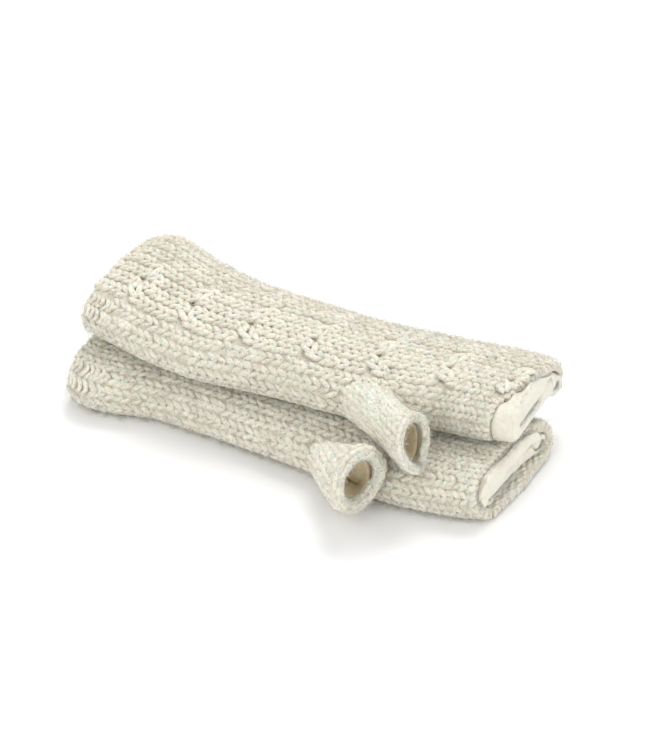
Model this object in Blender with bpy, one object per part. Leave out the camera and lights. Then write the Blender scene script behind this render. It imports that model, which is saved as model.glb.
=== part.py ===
"""A pair of lined cable knit hand warmers, one lying on the other.

Each hand warmer is a flattened tube of thick knitting, open at the wrist and at the hand, with a short
knitted thumb tube on its near side and a fleece lining in both tubes. The lower one lies palm up, the
upper one back up, with its cable on top. X runs from the wrist end to the hand end, Y away from the thumbs.
The origin lies on the table under the middle of the pair.
"""

import math
from collections import namedtuple

import bmesh
import bpy
import numpy as np

MM = 0.001

# The middle of the pair, in the millimetres across the table that the tables below use
PAIR_MIDDLE = (-7.3, -10.5, 0.0)

# Walls, in millimetres
KNIT_WALL = 4.5
LINING_WALL = 3.0
HEM_WALL = 3.7
HEM_DEPTH = 16.0
HEM_SPREAD = 3.3
HEM_SPREAD_AFTER = 7.5
THUMB_WALL = 4.2
THUMB_LINING_WALL = 3.4
SEAM_GAP = 0.3
LINING_GAP = 0.8
THUMB_GAP = 1.0
EDGE_ROUNDING = 1.1

# The outline of a flattened tube, in shares of its half width and thickness
BOTTOM_CORNER_ACROSS = 0.2
BOTTOM_CORNER_HEIGHT = 0.42
PROFILE_SAMPLES = 720
NOMINAL_HALF_WIDTH = 40.0
NOMINAL_THICKNESS = 25.0

# Ribs run from one bottom corner over the top to the other, and each holds three columns of points
RIBS_START = 0.185
RIBS_END = 0.815
COLUMNS_PER_RIB = 3
UNDERSIDE_COLUMNS = 6
RIB_HEIGHT = 1.1
GROOVE_SHARE = 0.22

# The horseshoe cable: two ropes that mirror each other, crossing outwards once in every repeat
CABLE_REPEAT = 35.2
CABLE_FIRST = -108.1
CABLE_HALF_WIDTH = 17.0
CABLE_COLUMNS = 12
STRAND_HALF_WIDTH = 4.3
STRAND_INNER = 4.1
STRAND_OUTER = 12.6
STRAND_HEIGHT = 2.0
OVER_LIFT = 1.0
CROSSING_SHARE = 0.7

# Ribs rise out of the pressed underside over this share of the thickness
RIB_RISE = 0.3

# The thumb opening, measured in columns and rows of points
HOLE_FIRST_COLUMN = 2
HOLE_COLUMNS = 8
HOLE_ROWS = 6
HOLE_POWER = 2.5
PLAIN_AROUND_HOLE = 5.2
PLAIN_FADE = 5.0
THUMB_RINGS = 5
ROOT_SLANT = 0.8
END_ROWS = 4

Section = namedtuple("Section", "along near far thick base droop slant")
EndTrim = namedtuple("EndTrim", "place knit_wrist knit_hand lining_wrist lining_hand")
Thumb = namedtuple("Thumb", "along half_length centre heading rise roll half_wide half_tall reach waist")
Mitt = namedtuple("Mitt", "name sections trims top_power cable_place thumb rows_before rows_after")

# Where each section of the lower hand warmer starts and ends across the table
LOWER_SECTIONS = (
    Section(along=-129, near=-40.0, far=36.0, thick=23.5, base=0, droop=0, slant=0),
    Section(along=-118, near=-48.0, far=37.5, thick=25.0, base=0, droop=0, slant=0),
    Section(along=-100, near=-48.5, far=38.0, thick=25.5, base=0, droop=0, slant=0),
    Section(along=-80, near=-44.5, far=36.5, thick=25.0, base=0, droop=0, slant=0),
    Section(along=-55, near=-45.7, far=34.0, thick=25.0, base=0, droop=0, slant=0),
    Section(along=-25, near=-49.0, far=31.0, thick=25.0, base=0, droop=0, slant=0),
    Section(along=5, near=-53.0, far=27.5, thick=25.0, base=0, droop=0, slant=0),
    Section(along=30, near=-57.5, far=24.0, thick=25.0, base=0, droop=0, slant=0),
    Section(along=55, near=-62.0, far=20.0, thick=25.0, base=0, droop=0, slant=0.3),
    Section(along=80, near=-61.0, far=17.5, thick=24.5, base=0, droop=0, slant=1.5),
    Section(along=100, near=-58.0, far=16.5, thick=24.0, base=0, droop=0, slant=3),
    Section(along=115, near=-52.5, far=16.5, thick=23.0, base=0, droop=0, slant=4),
)

# The upper one hangs a little over the far edge of the lower one, by its droop
UPPER_SECTIONS = (
    Section(along=-131, near=-17.0, far=67.0, thick=23.0, base=26.9, droop=3.0, slant=1),
    Section(along=-120, near=-23.5, far=72.0, thick=25.5, base=26.9, droop=3.0, slant=1),
    Section(along=-107, near=-28.0, far=68.0, thick=26.0, base=26.9, droop=3.5, slant=1),
    Section(along=-90, near=-33.5, far=59.0, thick=26.0, base=26.8, droop=4.5, slant=0.5),
    Section(along=-70, near=-37.5, far=52.0, thick=25.5, base=26.6, droop=5.0, slant=0),
    Section(along=-55, near=-39.5, far=47.5, thick=25.0, base=26.6, droop=5.5, slant=0),
    Section(along=-35, near=-38.5, far=44.5, thick=25.0, base=26.6, droop=6.0, slant=0),
    Section(along=-10, near=-37.5, far=41.0, thick=25.0, base=26.6, droop=6.5, slant=0),
    Section(along=20, near=-38.5, far=38.0, thick=25.0, base=26.6, droop=7.0, slant=0),
    Section(along=50, near=-36.0, far=38.5, thick=25.0, base=26.6, droop=7.5, slant=0),
    Section(along=75, near=-30.5, far=40.0, thick=24.5, base=26.4, droop=7.5, slant=0.5),
    Section(along=95, near=-29.0, far=43.0, thick=24.0, base=26.0, droop=7.5, slant=1.5),
    Section(along=112, near=-24.0, far=42.0, thick=23.0, base=25.6, droop=7.5, slant=2),
)

# How far knitting and lining stop short of each end, by place round the tube: 0 is the middle of the
# underside, 0.25 the near side and 0.5 the top
LOWER_TRIMS = (
    EndTrim(place=0.0, knit_wrist=1.0, knit_hand=0.0, lining_wrist=0.5, lining_hand=6.0),
    EndTrim(place=0.25, knit_wrist=0.5, knit_hand=4.0, lining_wrist=0.0, lining_hand=5.5),
    EndTrim(place=0.5, knit_wrist=2.0, knit_hand=9.5, lining_wrist=0.0, lining_hand=4.5),
    EndTrim(place=0.75, knit_wrist=2.5, knit_hand=2.0, lining_wrist=0.0, lining_hand=5.0),
)
UPPER_TRIMS = (
    EndTrim(place=0.0, knit_wrist=2.0, knit_hand=4.0, lining_wrist=0.0, lining_hand=0.0),
    EndTrim(place=0.25, knit_wrist=1.5, knit_hand=12.0, lining_wrist=0.0, lining_hand=0.0),
    EndTrim(place=0.5, knit_wrist=2.5, knit_hand=6.0, lining_wrist=0.0, lining_hand=0.5),
    EndTrim(place=0.75, knit_wrist=2.5, knit_hand=1.5, lining_wrist=0.0, lining_hand=1.0),
)
TRIM_REACH = 40.0

LOWER_MITT = Mitt(
    name="lower",
    sections=LOWER_SECTIONS,
    trims=LOWER_TRIMS,
    top_power=3.2,
    cable_place=None,
    thumb=Thumb(
        along=34.0,
        half_length=15.0,
        centre=(51.5, -77.8, 26.0),
        heading=-23.0,
        rise=6.0,
        roll=0.0,
        half_wide=17.5,
        half_tall=18.0,
        reach=14.0,
        waist=0.0,
    ),
    rows_before=12,
    rows_after=4,
)
UPPER_MITT = Mitt(
    name="upper",
    sections=UPPER_SECTIONS,
    trims=UPPER_TRIMS,
    top_power=2.6,
    cable_place=0.45,
    thumb=Thumb(
        along=39.0,
        half_length=10.0,
        centre=(70.5, -58.3, 39.5),
        heading=-10.0,
        rise=14.0,
        roll=0.0,
        half_wide=15.5,
        half_tall=16.5,
        reach=10.0,
        waist=0.14,
    ),
    rows_before=28,
    rows_after=8,
)

Cloth = namedtuple("Cloth", "name colour roughness")
WOOL = Cloth(name="oatmeal_wool", colour=(0.70, 0.66, 0.57, 1.0), roughness=0.95)
FLEECE = Cloth(name="cream_fleece", colour=(0.80, 0.76, 0.66, 1.0), roughness=1.0)


def column(rows, name):
    """One named column of a table as an array."""
    return np.array([getattr(row, name) for row in rows], float)


def smooth_between(places, table_places, table_values):
    """Cubic curve through the rows of a table, with each row's slope taken from its neighbours."""
    slopes = np.gradient(table_values, table_places)
    places = np.clip(places, table_places[0], table_places[-1])
    left = np.clip(np.searchsorted(table_places, places, side="right") - 1, 0, len(table_places) - 2)
    span = table_places[left + 1] - table_places[left]
    t = (places - table_places[left]) / span
    from_left = table_values[left] * (1 + 2 * t) * (1 - t) ** 2 + slopes[left] * span * t * (1 - t) ** 2
    from_right = table_values[left + 1] * t**2 * (3 - 2 * t) - slopes[left + 1] * span * t**2 * (1 - t)
    return from_left + from_right


def smooth_step(value):
    """Rises from 0 to 1 as the value does, level at both ends."""
    t = np.clip(value, 0.0, 1.0)
    return t * t * (3 - 2 * t)


def unit_profile(top_power):
    """The tube's outline by place round it: across from -1 near to 1 far, height from 0 to 1."""
    flat_end = 1 - BOTTOM_CORNER_ACROSS
    turn = np.linspace(0, math.pi / 2, PROFILE_SAMPLES)
    bottom_across = np.concatenate([[0.0], flat_end + BOTTOM_CORNER_ACROSS * np.sin(turn)])
    bottom_height = np.concatenate([[0.0], BOTTOM_CORNER_HEIGHT * (1 - np.cos(turn))])
    top_turn = turn[1:]
    top_across = np.cos(top_turn) ** (2 / top_power)
    top_height = BOTTOM_CORNER_HEIGHT + (1 - BOTTOM_CORNER_HEIGHT) * np.sin(top_turn) ** (2 / top_power)
    half_across = np.concatenate([bottom_across, top_across])
    half_height = np.concatenate([bottom_height, top_height])
    across = np.concatenate([-half_across, half_across[-2::-1]])
    height = np.concatenate([half_height, half_height[-2::-1]])
    steps = np.hypot(np.diff(across) * NOMINAL_HALF_WIDTH, np.diff(height) * NOMINAL_THICKNESS)
    length = np.concatenate([[0.0], np.cumsum(steps)])
    return length / length[-1], across, height, length[-1]


def rib_layout(mitt, girth):
    """The rib bands as (start, end, rib count), leaving out the cable's band."""
    if mitt.cable_place is None:
        bands = [(RIBS_START, RIBS_END)]
    else:
        half = CABLE_HALF_WIDTH / girth
        bands = [(RIBS_START, mitt.cable_place - half), (mitt.cable_place + half, RIBS_END)]
    rib_width = 8.0
    return [(start, end, max(1, round((end - start) * girth / rib_width))) for start, end in bands]


def places_round(mitt, girth):
    """The places round the tube at which a section has points, in order from the near bottom corner."""
    bands = rib_layout(mitt, girth)
    places = []
    for number, (start, end, ribs) in enumerate(bands):
        places.append(np.linspace(start, end, ribs * COLUMNS_PER_RIB, endpoint=False))
        if number + 1 < len(bands):
            places.append(np.linspace(end, bands[number + 1][0], CABLE_COLUMNS, endpoint=False))
    # An even number of columns lets the plain inside take every second one
    so_far = sum(len(group) for group in places)
    underside = UNDERSIDE_COLUMNS + (so_far + UNDERSIDE_COLUMNS) % 2
    places.append(np.linspace(RIBS_END, 1 + RIBS_START, underside, endpoint=False))
    return np.concatenate(places)


def rows_along(mitt):
    """The places along the tube at which it has a section, even before, in and after the thumb opening."""
    first = mitt.sections[0].along
    last = mitt.sections[-1].along
    start = mitt.thumb.along - mitt.thumb.half_length
    end = mitt.thumb.along + mitt.thumb.half_length
    return np.concatenate(
        [
            np.linspace(first, first + HEM_DEPTH, END_ROWS, endpoint=False),
            np.linspace(first + HEM_DEPTH, start, mitt.rows_before, endpoint=False),
            np.linspace(start, end, HOLE_ROWS, endpoint=False),
            np.linspace(end, last - HEM_DEPTH, mitt.rows_after, endpoint=False),
            np.linspace(last - HEM_DEPTH, last, END_ROWS + 1),
        ]
    )


def hole_place(mitt, girth):
    """Centre and half height of the thumb opening, as places round the tube."""
    places = places_round(mitt, girth)
    start = places[HOLE_FIRST_COLUMN]
    end = places[HOLE_FIRST_COLUMN + HOLE_COLUMNS]
    return (start + end) / 2, (end - start) / 2


def from_hole(mitt, girth, along, place):
    """How far each point is from the thumb opening's centre, in half sizes of the opening, both ways."""
    centre, half = hole_place(mitt, girth)
    across = (place - centre + 0.5) % 1.0 - 0.5
    return (along - mitt.thumb.along) / mitt.thumb.half_length, across / half


def pulled_to_oval(mitt, girth, along, place):
    """Moves the points round the square opening so that its edge becomes an oval, fading out around it."""
    centre, half = hole_place(mitt, girth)
    u, v = from_hole(mitt, girth, along, place)
    square = np.maximum(np.abs(u), np.abs(v))
    oval = (np.abs(u) ** HOLE_POWER + np.abs(v) ** HOLE_POWER) ** (1 / HOLE_POWER)
    pull = square / np.maximum(oval, 1e-9)
    factor = 1 + (pull - 1) * smooth_step(2 - square)
    near_hole = square < 2
    moved_along = mitt.thumb.along + u * factor * mitt.thumb.half_length
    moved_place = centre + v * factor * half
    return np.where(near_hole, moved_along, along), np.where(near_hole, moved_place, place)


def surface(mitt, profile, along, place, depth):
    """Points of the tube at a depth under its plain outside, with the knitting's uneven ends left out."""
    shares, across, height, _ = profile
    table_along = column(mitt.sections, "along")
    values = {
        name: smooth_between(along, table_along, column(mitt.sections, name))
        for name in ("near", "far", "thick", "base", "droop", "slant")
    }
    half = (values["far"] - values["near"]) / 2 - depth
    middle = (values["far"] + values["near"]) / 2
    unit_across = np.interp(place % 1.0, shares, across)
    unit_height = np.interp(place % 1.0, shares, height)
    hang = values["droop"] * np.clip((unit_across - 0.15) / 0.85, 0, 1) ** 2
    y = middle + half * unit_across
    z = values["base"] + depth + (values["thick"] - 2 * depth) * unit_height - hang
    return np.stack([along + values["slant"] * unit_across, y, z], axis=-1)


def outward(mitt, profile, along, place, depth):
    """Unit normals of the same surface, pointing out of the tube."""
    step_along = 0.5
    step_place = 0.002
    lengthwise = surface(mitt, profile, along + step_along, place, depth) - surface(
        mitt, profile, along - step_along, place, depth
    )
    roundwise = surface(mitt, profile, along, place + step_place, depth) - surface(
        mitt, profile, along, place - step_place, depth
    )
    normal = np.cross(lengthwise, roundwise)
    return normal / np.linalg.norm(normal, axis=-1, keepdims=True)


def cable_height(along, sideways):
    """Height of the horseshoe cable at a distance sideways from its middle line."""
    repeat = (along - CABLE_FIRST) / CABLE_REPEAT
    phase = repeat - np.floor(repeat)
    shift = (STRAND_OUTER - STRAND_INNER) * smooth_step(phase / CROSSING_SHARE)
    distance = np.abs(sideways)
    crossing = np.sin(math.pi * np.clip(phase / CROSSING_SHARE, 0, 1))
    over = np.clip(1 - ((distance - STRAND_INNER - shift) / STRAND_HALF_WIDTH) ** 2, 0, 1)
    under = np.clip(1 - ((distance - STRAND_OUTER + shift) / STRAND_HALF_WIDTH) ** 2, 0, 1)
    return np.maximum((STRAND_HEIGHT + OVER_LIFT * crossing) * np.sqrt(over), STRAND_HEIGHT * np.sqrt(under))


def relief(mitt, profile, along, place):
    """Height of the ribs and the cable over the plain outside, none underneath or round the thumb opening."""
    shares, _, unit_height, girth = profile
    place = place % 1.0
    height = np.zeros_like(place)
    for start, end, ribs in rib_layout(mitt, girth):
        inside = (place >= start) & (place <= end)
        phase = ((place - start) / (end - start) * ribs) % 1.0
        from_groove = np.minimum(phase, 1 - phase)
        height = np.where(inside, RIB_HEIGHT * smooth_step(from_groove / GROOVE_SHARE), height)
    if mitt.cable_place is not None:
        sideways = (place - mitt.cable_place) * girth
        inside = np.abs(sideways) < CABLE_HALF_WIDTH
        height = np.where(inside, cable_height(along, sideways), height)
    u, v = from_hole(mitt, girth, along, place)
    _, half = hole_place(mitt, girth)
    oval = (np.abs(u) ** HOLE_POWER + np.abs(v) ** HOLE_POWER) ** (1 / HOLE_POWER)
    from_centre = np.hypot(u * mitt.thumb.half_length, v * half * girth)
    distance = from_centre * (1 - 1 / np.maximum(oval, 1e-9))
    risen = smooth_step(np.interp(place, shares, unit_height) / RIB_RISE)
    return height * risen * smooth_step((distance - PLAIN_AROUND_HOLE) / PLAIN_FADE)


def trim_amount(mitt, name, place):
    """How far a layer stops short of one end at a place round the tube."""
    table_place = np.append(column(mitt.trims, "place"), 1.0)
    values = column(mitt.trims, name)
    return smooth_between(place % 1.0, table_place, np.append(values, values[0]))


def drawn_back(mitt, layer, along, place):
    """The same places along the tube with both ends of the layer drawn back unevenly round it."""
    from_wrist = np.clip(1 - (along - mitt.sections[0].along) / TRIM_REACH, 0, 1)
    from_hand = np.clip(1 - (mitt.sections[-1].along - along) / TRIM_REACH, 0, 1)
    wrist = trim_amount(mitt, f"{layer}_wrist", place) * from_wrist
    hand = trim_amount(mitt, f"{layer}_hand", place) * from_hand
    return along + wrist - hand


def knit_outside(mitt, profile, along, place):
    """Points of the knitting's outside, raised by its ribs and cable and rounded off at both ends."""
    height = relief(mitt, profile, along, place)
    height[[0, -1]] = -EDGE_ROUNDING
    points = surface(mitt, profile, along, place, 0.0)
    return points + outward(mitt, profile, along, place, 0.0) * height[..., None]


def bridge(fine, coarse):
    """Faces between two closed loops of point numbers, the first with as many points or twice as many."""
    count = len(coarse)
    ratio = len(fine) // count
    faces = []
    for k in range(count):
        here = coarse[k]
        there = coarse[(k + 1) % count]
        first = fine[ratio * k]
        last = fine[(ratio * (k + 1)) % len(fine)]
        if ratio == 1:
            faces.append((first, last, there, here))
        else:
            middle = fine[ratio * k + 1]
            faces += [(first, middle, here), (middle, last, there), (middle, there, here)]
    return faces


def skin_faces(numbers, hole):
    """Quads over a grid of point numbers closed round its second way, without the cells of the hole."""
    rows, columns = numbers.shape
    faces = []
    for row in range(rows - 1):
        for place in range(columns):
            if hole and hole[0] <= row < hole[1] and hole[2] <= place < hole[3]:
                continue
            beside = (place + 1) % columns
            faces.append(
                (
                    numbers[row, place],
                    numbers[row, beside],
                    numbers[row + 1, beside],
                    numbers[row + 1, place],
                )
            )
    return faces


def hole_loop(numbers, hole):
    """The point numbers round the edge of the hole, in order."""
    row_start, row_end, start, end = hole
    loop = [numbers[row_start, k] for k in range(start, end)]
    loop += [numbers[k, end] for k in range(row_start, row_end)]
    loop += [numbers[row_end, k] for k in range(end, start, -1)]
    loop += [numbers[k, start] for k in range(row_end, row_start, -1)]
    return loop


def cloth_material(name, cloth):
    """A plain material in one cloth's colour."""
    material = bpy.data.materials.new(f"{name}_{cloth.name}")
    material.use_nodes = True
    shader = material.node_tree.nodes["Principled BSDF"]
    shader.inputs["Base Color"].default_value = cloth.colour
    shader.inputs["Roughness"].default_value = cloth.roughness
    shader.inputs["Metallic"].default_value = 0.0
    material.diffuse_color = cloth.colour
    return material


def add_object(name, points, faces, cloth):
    """One closed solid from points in millimetres, its faces turned outwards."""
    mesh = bpy.data.meshes.new(name)
    places = (points - np.array(PAIR_MIDDLE)) * MM
    mesh.from_pydata(places.tolist(), [], [tuple(int(k) for k in face) for face in faces])
    shape = bmesh.new()
    shape.from_mesh(mesh)
    bmesh.ops.recalc_face_normals(shape, faces=shape.faces)
    shape.to_mesh(mesh)
    shape.free()
    mesh.polygons.foreach_set("use_smooth", [True] * len(mesh.polygons))
    mesh.materials.append(cloth_material(name, cloth))
    solid = bpy.data.objects.new(name, mesh)
    bpy.context.scene.collection.objects.link(solid)
    return solid


def add_wall(name, outer, inner, hole, inner_hole, cloth):
    """A tube wall between an outer and an inner grid of points, open at both ends and at the hole."""
    outer_numbers = np.arange(outer.shape[0] * outer.shape[1]).reshape(outer.shape[:2])
    inner_numbers = np.arange(inner.shape[0] * inner.shape[1]).reshape(inner.shape[:2]) + outer_numbers.size
    faces = skin_faces(outer_numbers, hole) + skin_faces(inner_numbers, inner_hole)
    faces += bridge(outer_numbers[0], inner_numbers[0])
    faces += bridge(outer_numbers[-1], inner_numbers[-1])
    if hole:
        faces += bridge(hole_loop(outer_numbers, hole), hole_loop(inner_numbers, inner_hole))
    points = np.concatenate([outer.reshape(-1, 3), inner.reshape(-1, 3)])
    return add_object(name, points, faces, cloth)


def hole_cells(mitt, stride):
    """The rows and columns of cells that the thumb opening takes, in a grid with this stride."""
    first_row = END_ROWS + mitt.rows_before
    rows = (first_row, first_row + HOLE_ROWS)
    columns = (HOLE_FIRST_COLUMN, HOLE_FIRST_COLUMN + HOLE_COLUMNS)
    return tuple(value // stride for value in rows + columns)


def add_body(mitt, profile):
    """The knitted tube and the lining inside it."""
    girth = profile[3]
    grid = np.meshgrid(rows_along(mitt), places_round(mitt, girth), indexing="ij")
    along, place = pulled_to_oval(mitt, girth, *grid)
    knit_along = drawn_back(mitt, "knit", along, place)
    add_wall(
        f"{mitt.name}_knit_body",
        knit_outside(mitt, profile, knit_along, place),
        surface(mitt, profile, knit_along[::2, ::2], place[::2, ::2], KNIT_WALL),
        hole_cells(mitt, 1),
        hole_cells(mitt, 2),
        WOOL,
    )
    # The lining thickens to a hem at the hand end, and swells where the knitting stops well short of it
    place = place[::2, ::2]
    along = drawn_back(mitt, "lining", along[::2, ::2], place)
    end = mitt.sections[-1].along
    hem = smooth_step(1 - (end - along) / HEM_DEPTH)
    bare = along - end + trim_amount(mitt, "knit_hand", place) - HEM_SPREAD_AFTER
    depth = KNIT_WALL + LINING_GAP
    add_wall(
        f"{mitt.name}_lining_body",
        surface(mitt, profile, along, place, depth - np.clip(bare, 0, HEM_SPREAD)),
        surface(mitt, profile, along, place, depth + LINING_WALL + (HEM_WALL - LINING_WALL) * hem),
        hole_cells(mitt, 2),
        hole_cells(mitt, 2),
        FLEECE,
    )


def thumb_loop(mitt, profile, turn, grow, depth):
    """A loop round the thumb opening on the body, larger than it by grow and at a depth under the outside."""
    centre, half = hole_place(mitt, profile[3])
    u = np.sign(np.cos(turn)) * np.abs(np.cos(turn)) ** (2 / HOLE_POWER)
    v = np.sign(np.sin(turn)) * np.abs(np.sin(turn)) ** (2 / HOLE_POWER)
    along = mitt.thumb.along + u * (mitt.thumb.half_length + grow)
    place = centre + v * (half + grow / profile[3])
    return surface(mitt, profile, along, place, depth), outward(mitt, profile, along, place, depth)


def rim_loop(thumb, turn, grow):
    """The loop at the thumb tube's open end, and the way it faces."""
    heading = math.radians(thumb.heading)
    rise = math.radians(thumb.rise)
    roll = math.radians(thumb.roll)
    facing = np.array(
        [math.cos(heading) * math.cos(rise), math.sin(heading) * math.cos(rise), math.sin(rise)]
    )
    sideways = np.array([-math.sin(heading), math.cos(heading), 0.0])
    upward = np.cross(facing, sideways)
    wide = math.cos(roll) * sideways + math.sin(roll) * upward
    tall = math.cos(roll) * upward - math.sin(roll) * sideways
    across = np.cos(turn)[:, None] * wide * (thumb.half_wide + grow)
    up = np.sin(turn)[:, None] * tall * (thumb.half_tall + grow)
    return np.array(thumb.centre) + across + up, facing


def thumb_curves(mitt, profile, turn, grow, rim_grow):
    """Rings of points from the thumb opening to the tube's end, each point on its own smooth curve."""
    root, normals = thumb_loop(mitt, profile, turn, grow, -THUMB_GAP)
    rim, facing = rim_loop(mitt.thumb, turn, rim_grow)
    reach = mitt.thumb.reach
    # The side nearer the wrist leaves the body slanting, the side in the crook straight out of it
    slanting = ROOT_SLANT * (0.5 - 0.5 * np.cos(turn))[:, None]
    start = normals * (1 - slanting) + facing * slanting
    share = np.linspace(0, 1, THUMB_RINGS)[:, None, None]
    from_root = root * (1 + 2 * share) * (1 - share) ** 2 + start * reach * share * (1 - share) ** 2
    from_rim = rim * share**2 * (3 - 2 * share) - facing * reach * share**2 * (1 - share)
    return from_root + from_rim


def thumb_rings(mitt, profile, turn, grow, rim_grow):
    """The same rings drawn in at the tube's waist, about one middle for all its layers."""
    every_turn = np.linspace(0, 2 * math.pi, 64, endpoint=False)
    middles = thumb_curves(mitt, profile, every_turn, 0.0, -THUMB_WALL).mean(axis=1, keepdims=True)
    share = np.linspace(0, 1, THUMB_RINGS)[:, None, None]
    rings = thumb_curves(mitt, profile, turn, grow, rim_grow)
    rings = middles + (rings - middles) * (1 - mitt.thumb.waist * 4 * share * (1 - share))
    # The table presses the tube's root flat
    rings[..., 2] = np.maximum(rings[..., 2], 0.0)
    return rings


def add_thumb(mitt, profile):
    """The knitted thumb tube, which starts on the body's outside, and the lining that passes through both."""
    points_round = 2 * (HOLE_ROWS + HOLE_COLUMNS)
    turn = np.arange(points_round) * 2 * math.pi / points_round
    add_wall(
        f"{mitt.name}_knit_thumb",
        thumb_rings(mitt, profile, turn, THUMB_WALL, 0.0),
        thumb_rings(mitt, profile, turn, 0.0, -THUMB_WALL),
        None,
        None,
        WOOL,
    )
    # The lining goes in past the knitted wall, to the outside of the body's lining
    coarse = turn[::2]
    inside = KNIT_WALL + LINING_GAP - SEAM_GAP
    layers = []
    for grow in (-THUMB_GAP, -THUMB_GAP - THUMB_LINING_WALL):
        inner_end, _ = thumb_loop(mitt, profile, coarse, grow, inside)
        rings = thumb_rings(mitt, profile, coarse, grow, grow - THUMB_WALL)
        layers.append(np.concatenate([inner_end[None], rings]))
    add_wall(f"{mitt.name}_lining_thumb", layers[0], layers[1], None, None, FLEECE)


def main():
    for old in list(bpy.data.objects):
        bpy.data.objects.remove(old, do_unlink=True)
    for mitt in (LOWER_MITT, UPPER_MITT):
        profile = unit_profile(mitt.top_power)
        add_body(mitt, profile)
        add_thumb(mitt, profile)


main()
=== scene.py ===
"""A pair of lined cable knit hand warmers, one lying on the other, with every stitch as its own yarn.

Each hand warmer has a knitted wall with stitches, purl bumps and rim bumps of plump marled yarn on it, a
fleece lining with a short pile, and a haze of loose fibres. X runs from the wrist end to the hand end, Y
away from the thumbs. All sizes are in millimetres until a mesh is made.
"""

import math
from collections import namedtuple

import bpy
import numpy as np
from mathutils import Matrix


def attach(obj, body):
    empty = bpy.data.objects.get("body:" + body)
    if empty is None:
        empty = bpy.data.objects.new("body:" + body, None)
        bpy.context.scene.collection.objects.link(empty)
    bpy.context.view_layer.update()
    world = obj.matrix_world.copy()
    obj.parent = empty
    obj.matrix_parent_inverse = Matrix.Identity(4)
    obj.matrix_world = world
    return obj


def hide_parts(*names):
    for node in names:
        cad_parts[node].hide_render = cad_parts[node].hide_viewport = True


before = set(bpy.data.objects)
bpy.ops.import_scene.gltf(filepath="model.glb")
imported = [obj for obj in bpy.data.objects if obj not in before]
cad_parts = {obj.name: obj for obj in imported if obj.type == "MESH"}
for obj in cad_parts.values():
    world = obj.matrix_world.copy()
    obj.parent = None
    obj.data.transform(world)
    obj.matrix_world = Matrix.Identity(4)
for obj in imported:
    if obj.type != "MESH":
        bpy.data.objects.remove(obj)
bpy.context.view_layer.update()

MM = 0.001
PAIR_MIDDLE = np.array((-7.3, -10.5, 0.0))

# Walls
KNIT_WALL = 4.5
LINING_WALL = 3.0
HEM_CLOSING = 0.97
HEM_BLUNTNESS = 0.7
FOLD_CLOSING = 0.85
HEM_DEPTH = 16.0
HEM_SPREAD = 4.7
HEM_SPREAD_AFTER = -0.5
HEM_SPREAD_SLOPE = 2.6
THUMB_WALL = 4.2
THUMB_LINING_WALL = 3.4
SEAM_GAP = 0.3
LINING_GAP = 0.8
THUMB_GAP = 1.0
BACKING_DEPTH = 0.55
THUMB_BACKING_DEPTH = 1.0
KNIT_LIP = 1.5
LINING_LIP = 3.2
LIP_CLOSING = 0.95

# The outline of a flattened tube, in shares of its half width and thickness
BOTTOM_CORNER_ACROSS = 0.2
BOTTOM_CORNER_HEIGHT = 0.42
PROFILE_SAMPLES = 720
NOMINAL_HALF_WIDTH = 40.0
NOMINAL_THICKNESS = 25.0
PRESSED_SHARE = 0.3
# Columns nearer the middle of the underside than this place belong to the underside
UNDERSIDE_PLACE = 0.165
# How far apart the points are that a surface's way out is worked out from, along the tube and round it
NORMAL_STEP = 0.5
NORMAL_TURN = 0.002

# Knitting
COLUMN_WIDTH = 8.0
ROW_PITCH = 4.7
RIB_HEIGHT = 1.15
YARN_ACROSS = 1.75
YARN_HEIGHT = 1.35
YARN_ROUGHNESS = 0.09
COLUMN_WANDER = 0.8
# A stitch's leg, in shares of the column's width and of the rows' pitch
LEG_FOOT = 0.06
LEG_LEAN = 0.33
LEG_LENGTH = 1.35
LEG_START = 0.5
APEX_DIP = 0.45
OUTER_DIP = 1.6
TOP_SOFTNESS = 0.6
RIM_YARN = 1.35
RIM_INSET = 0.35
# Bumps: the purl patch's, those on the inside of the wall, and those on the thumb's rolled rim
PURL_YARN = 1.35
PURL_RISE = 0.35
PURL_BOW = 4.2
PURL_ROW_SHARE = 0.76
PURL_COLUMNS = 2
INNER_YARN = 1.15
INNER_REACH = 0.24
INNER_ROWS = 3
INNER_BOW = 0.9
ROLL_YARN = 1.35
ROLL_YARN_DEPTH = 1.25
ROLL_RING_PITCH = 2.6
ROLL_BUMP_PITCH = 4.6
# Places round a yarn's section in turns from its underside, closer together on top, where it shows
RING = np.array((0.0, 0.22, 0.38, 0.5, 0.62, 0.78))
THIN_RING = np.array((0.0, 0.33, 0.67))

# The horseshoe cable: two ropes that mirror each other, crossing outwards once in every repeat
CABLE_REPEAT = 35.2
CABLE_FIRST = -108.1
CABLE_HALF_WIDTH = 17.0
CABLE_GROOVE = 1.5
GROOVE_LENGTH = 4.0
SHADED_GROOVE = 2.4
STRAND_INNER = 4.1
STRAND_OUTER = 12.6
STRAND_WIDTH = 8.6
STRAND_HEIGHT = 1.5
OVER_LIFT = 1.2
UNDER_DIP = 3.2
CROSSING = 10.0
CROSSING_POWER = 2.2
EMERGING = 4.0
SINKING = 6.0
SINKING_EARLY = 3.0

# The thumb opening, as the knitting leaves it
HOLE_POWER = 2.5
THUMB_COLUMNS = 13
ROOT_SLANT = 0.8
TRIM_REACH = 40.0

# Loose fibres: how many there are
BODY_FIBRES = 11000
THUMB_FIBRES = 600
RIM_FIBRES = 400
NAP_FIBRES = 900
MOUTH_FIBRES = 1700

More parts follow.
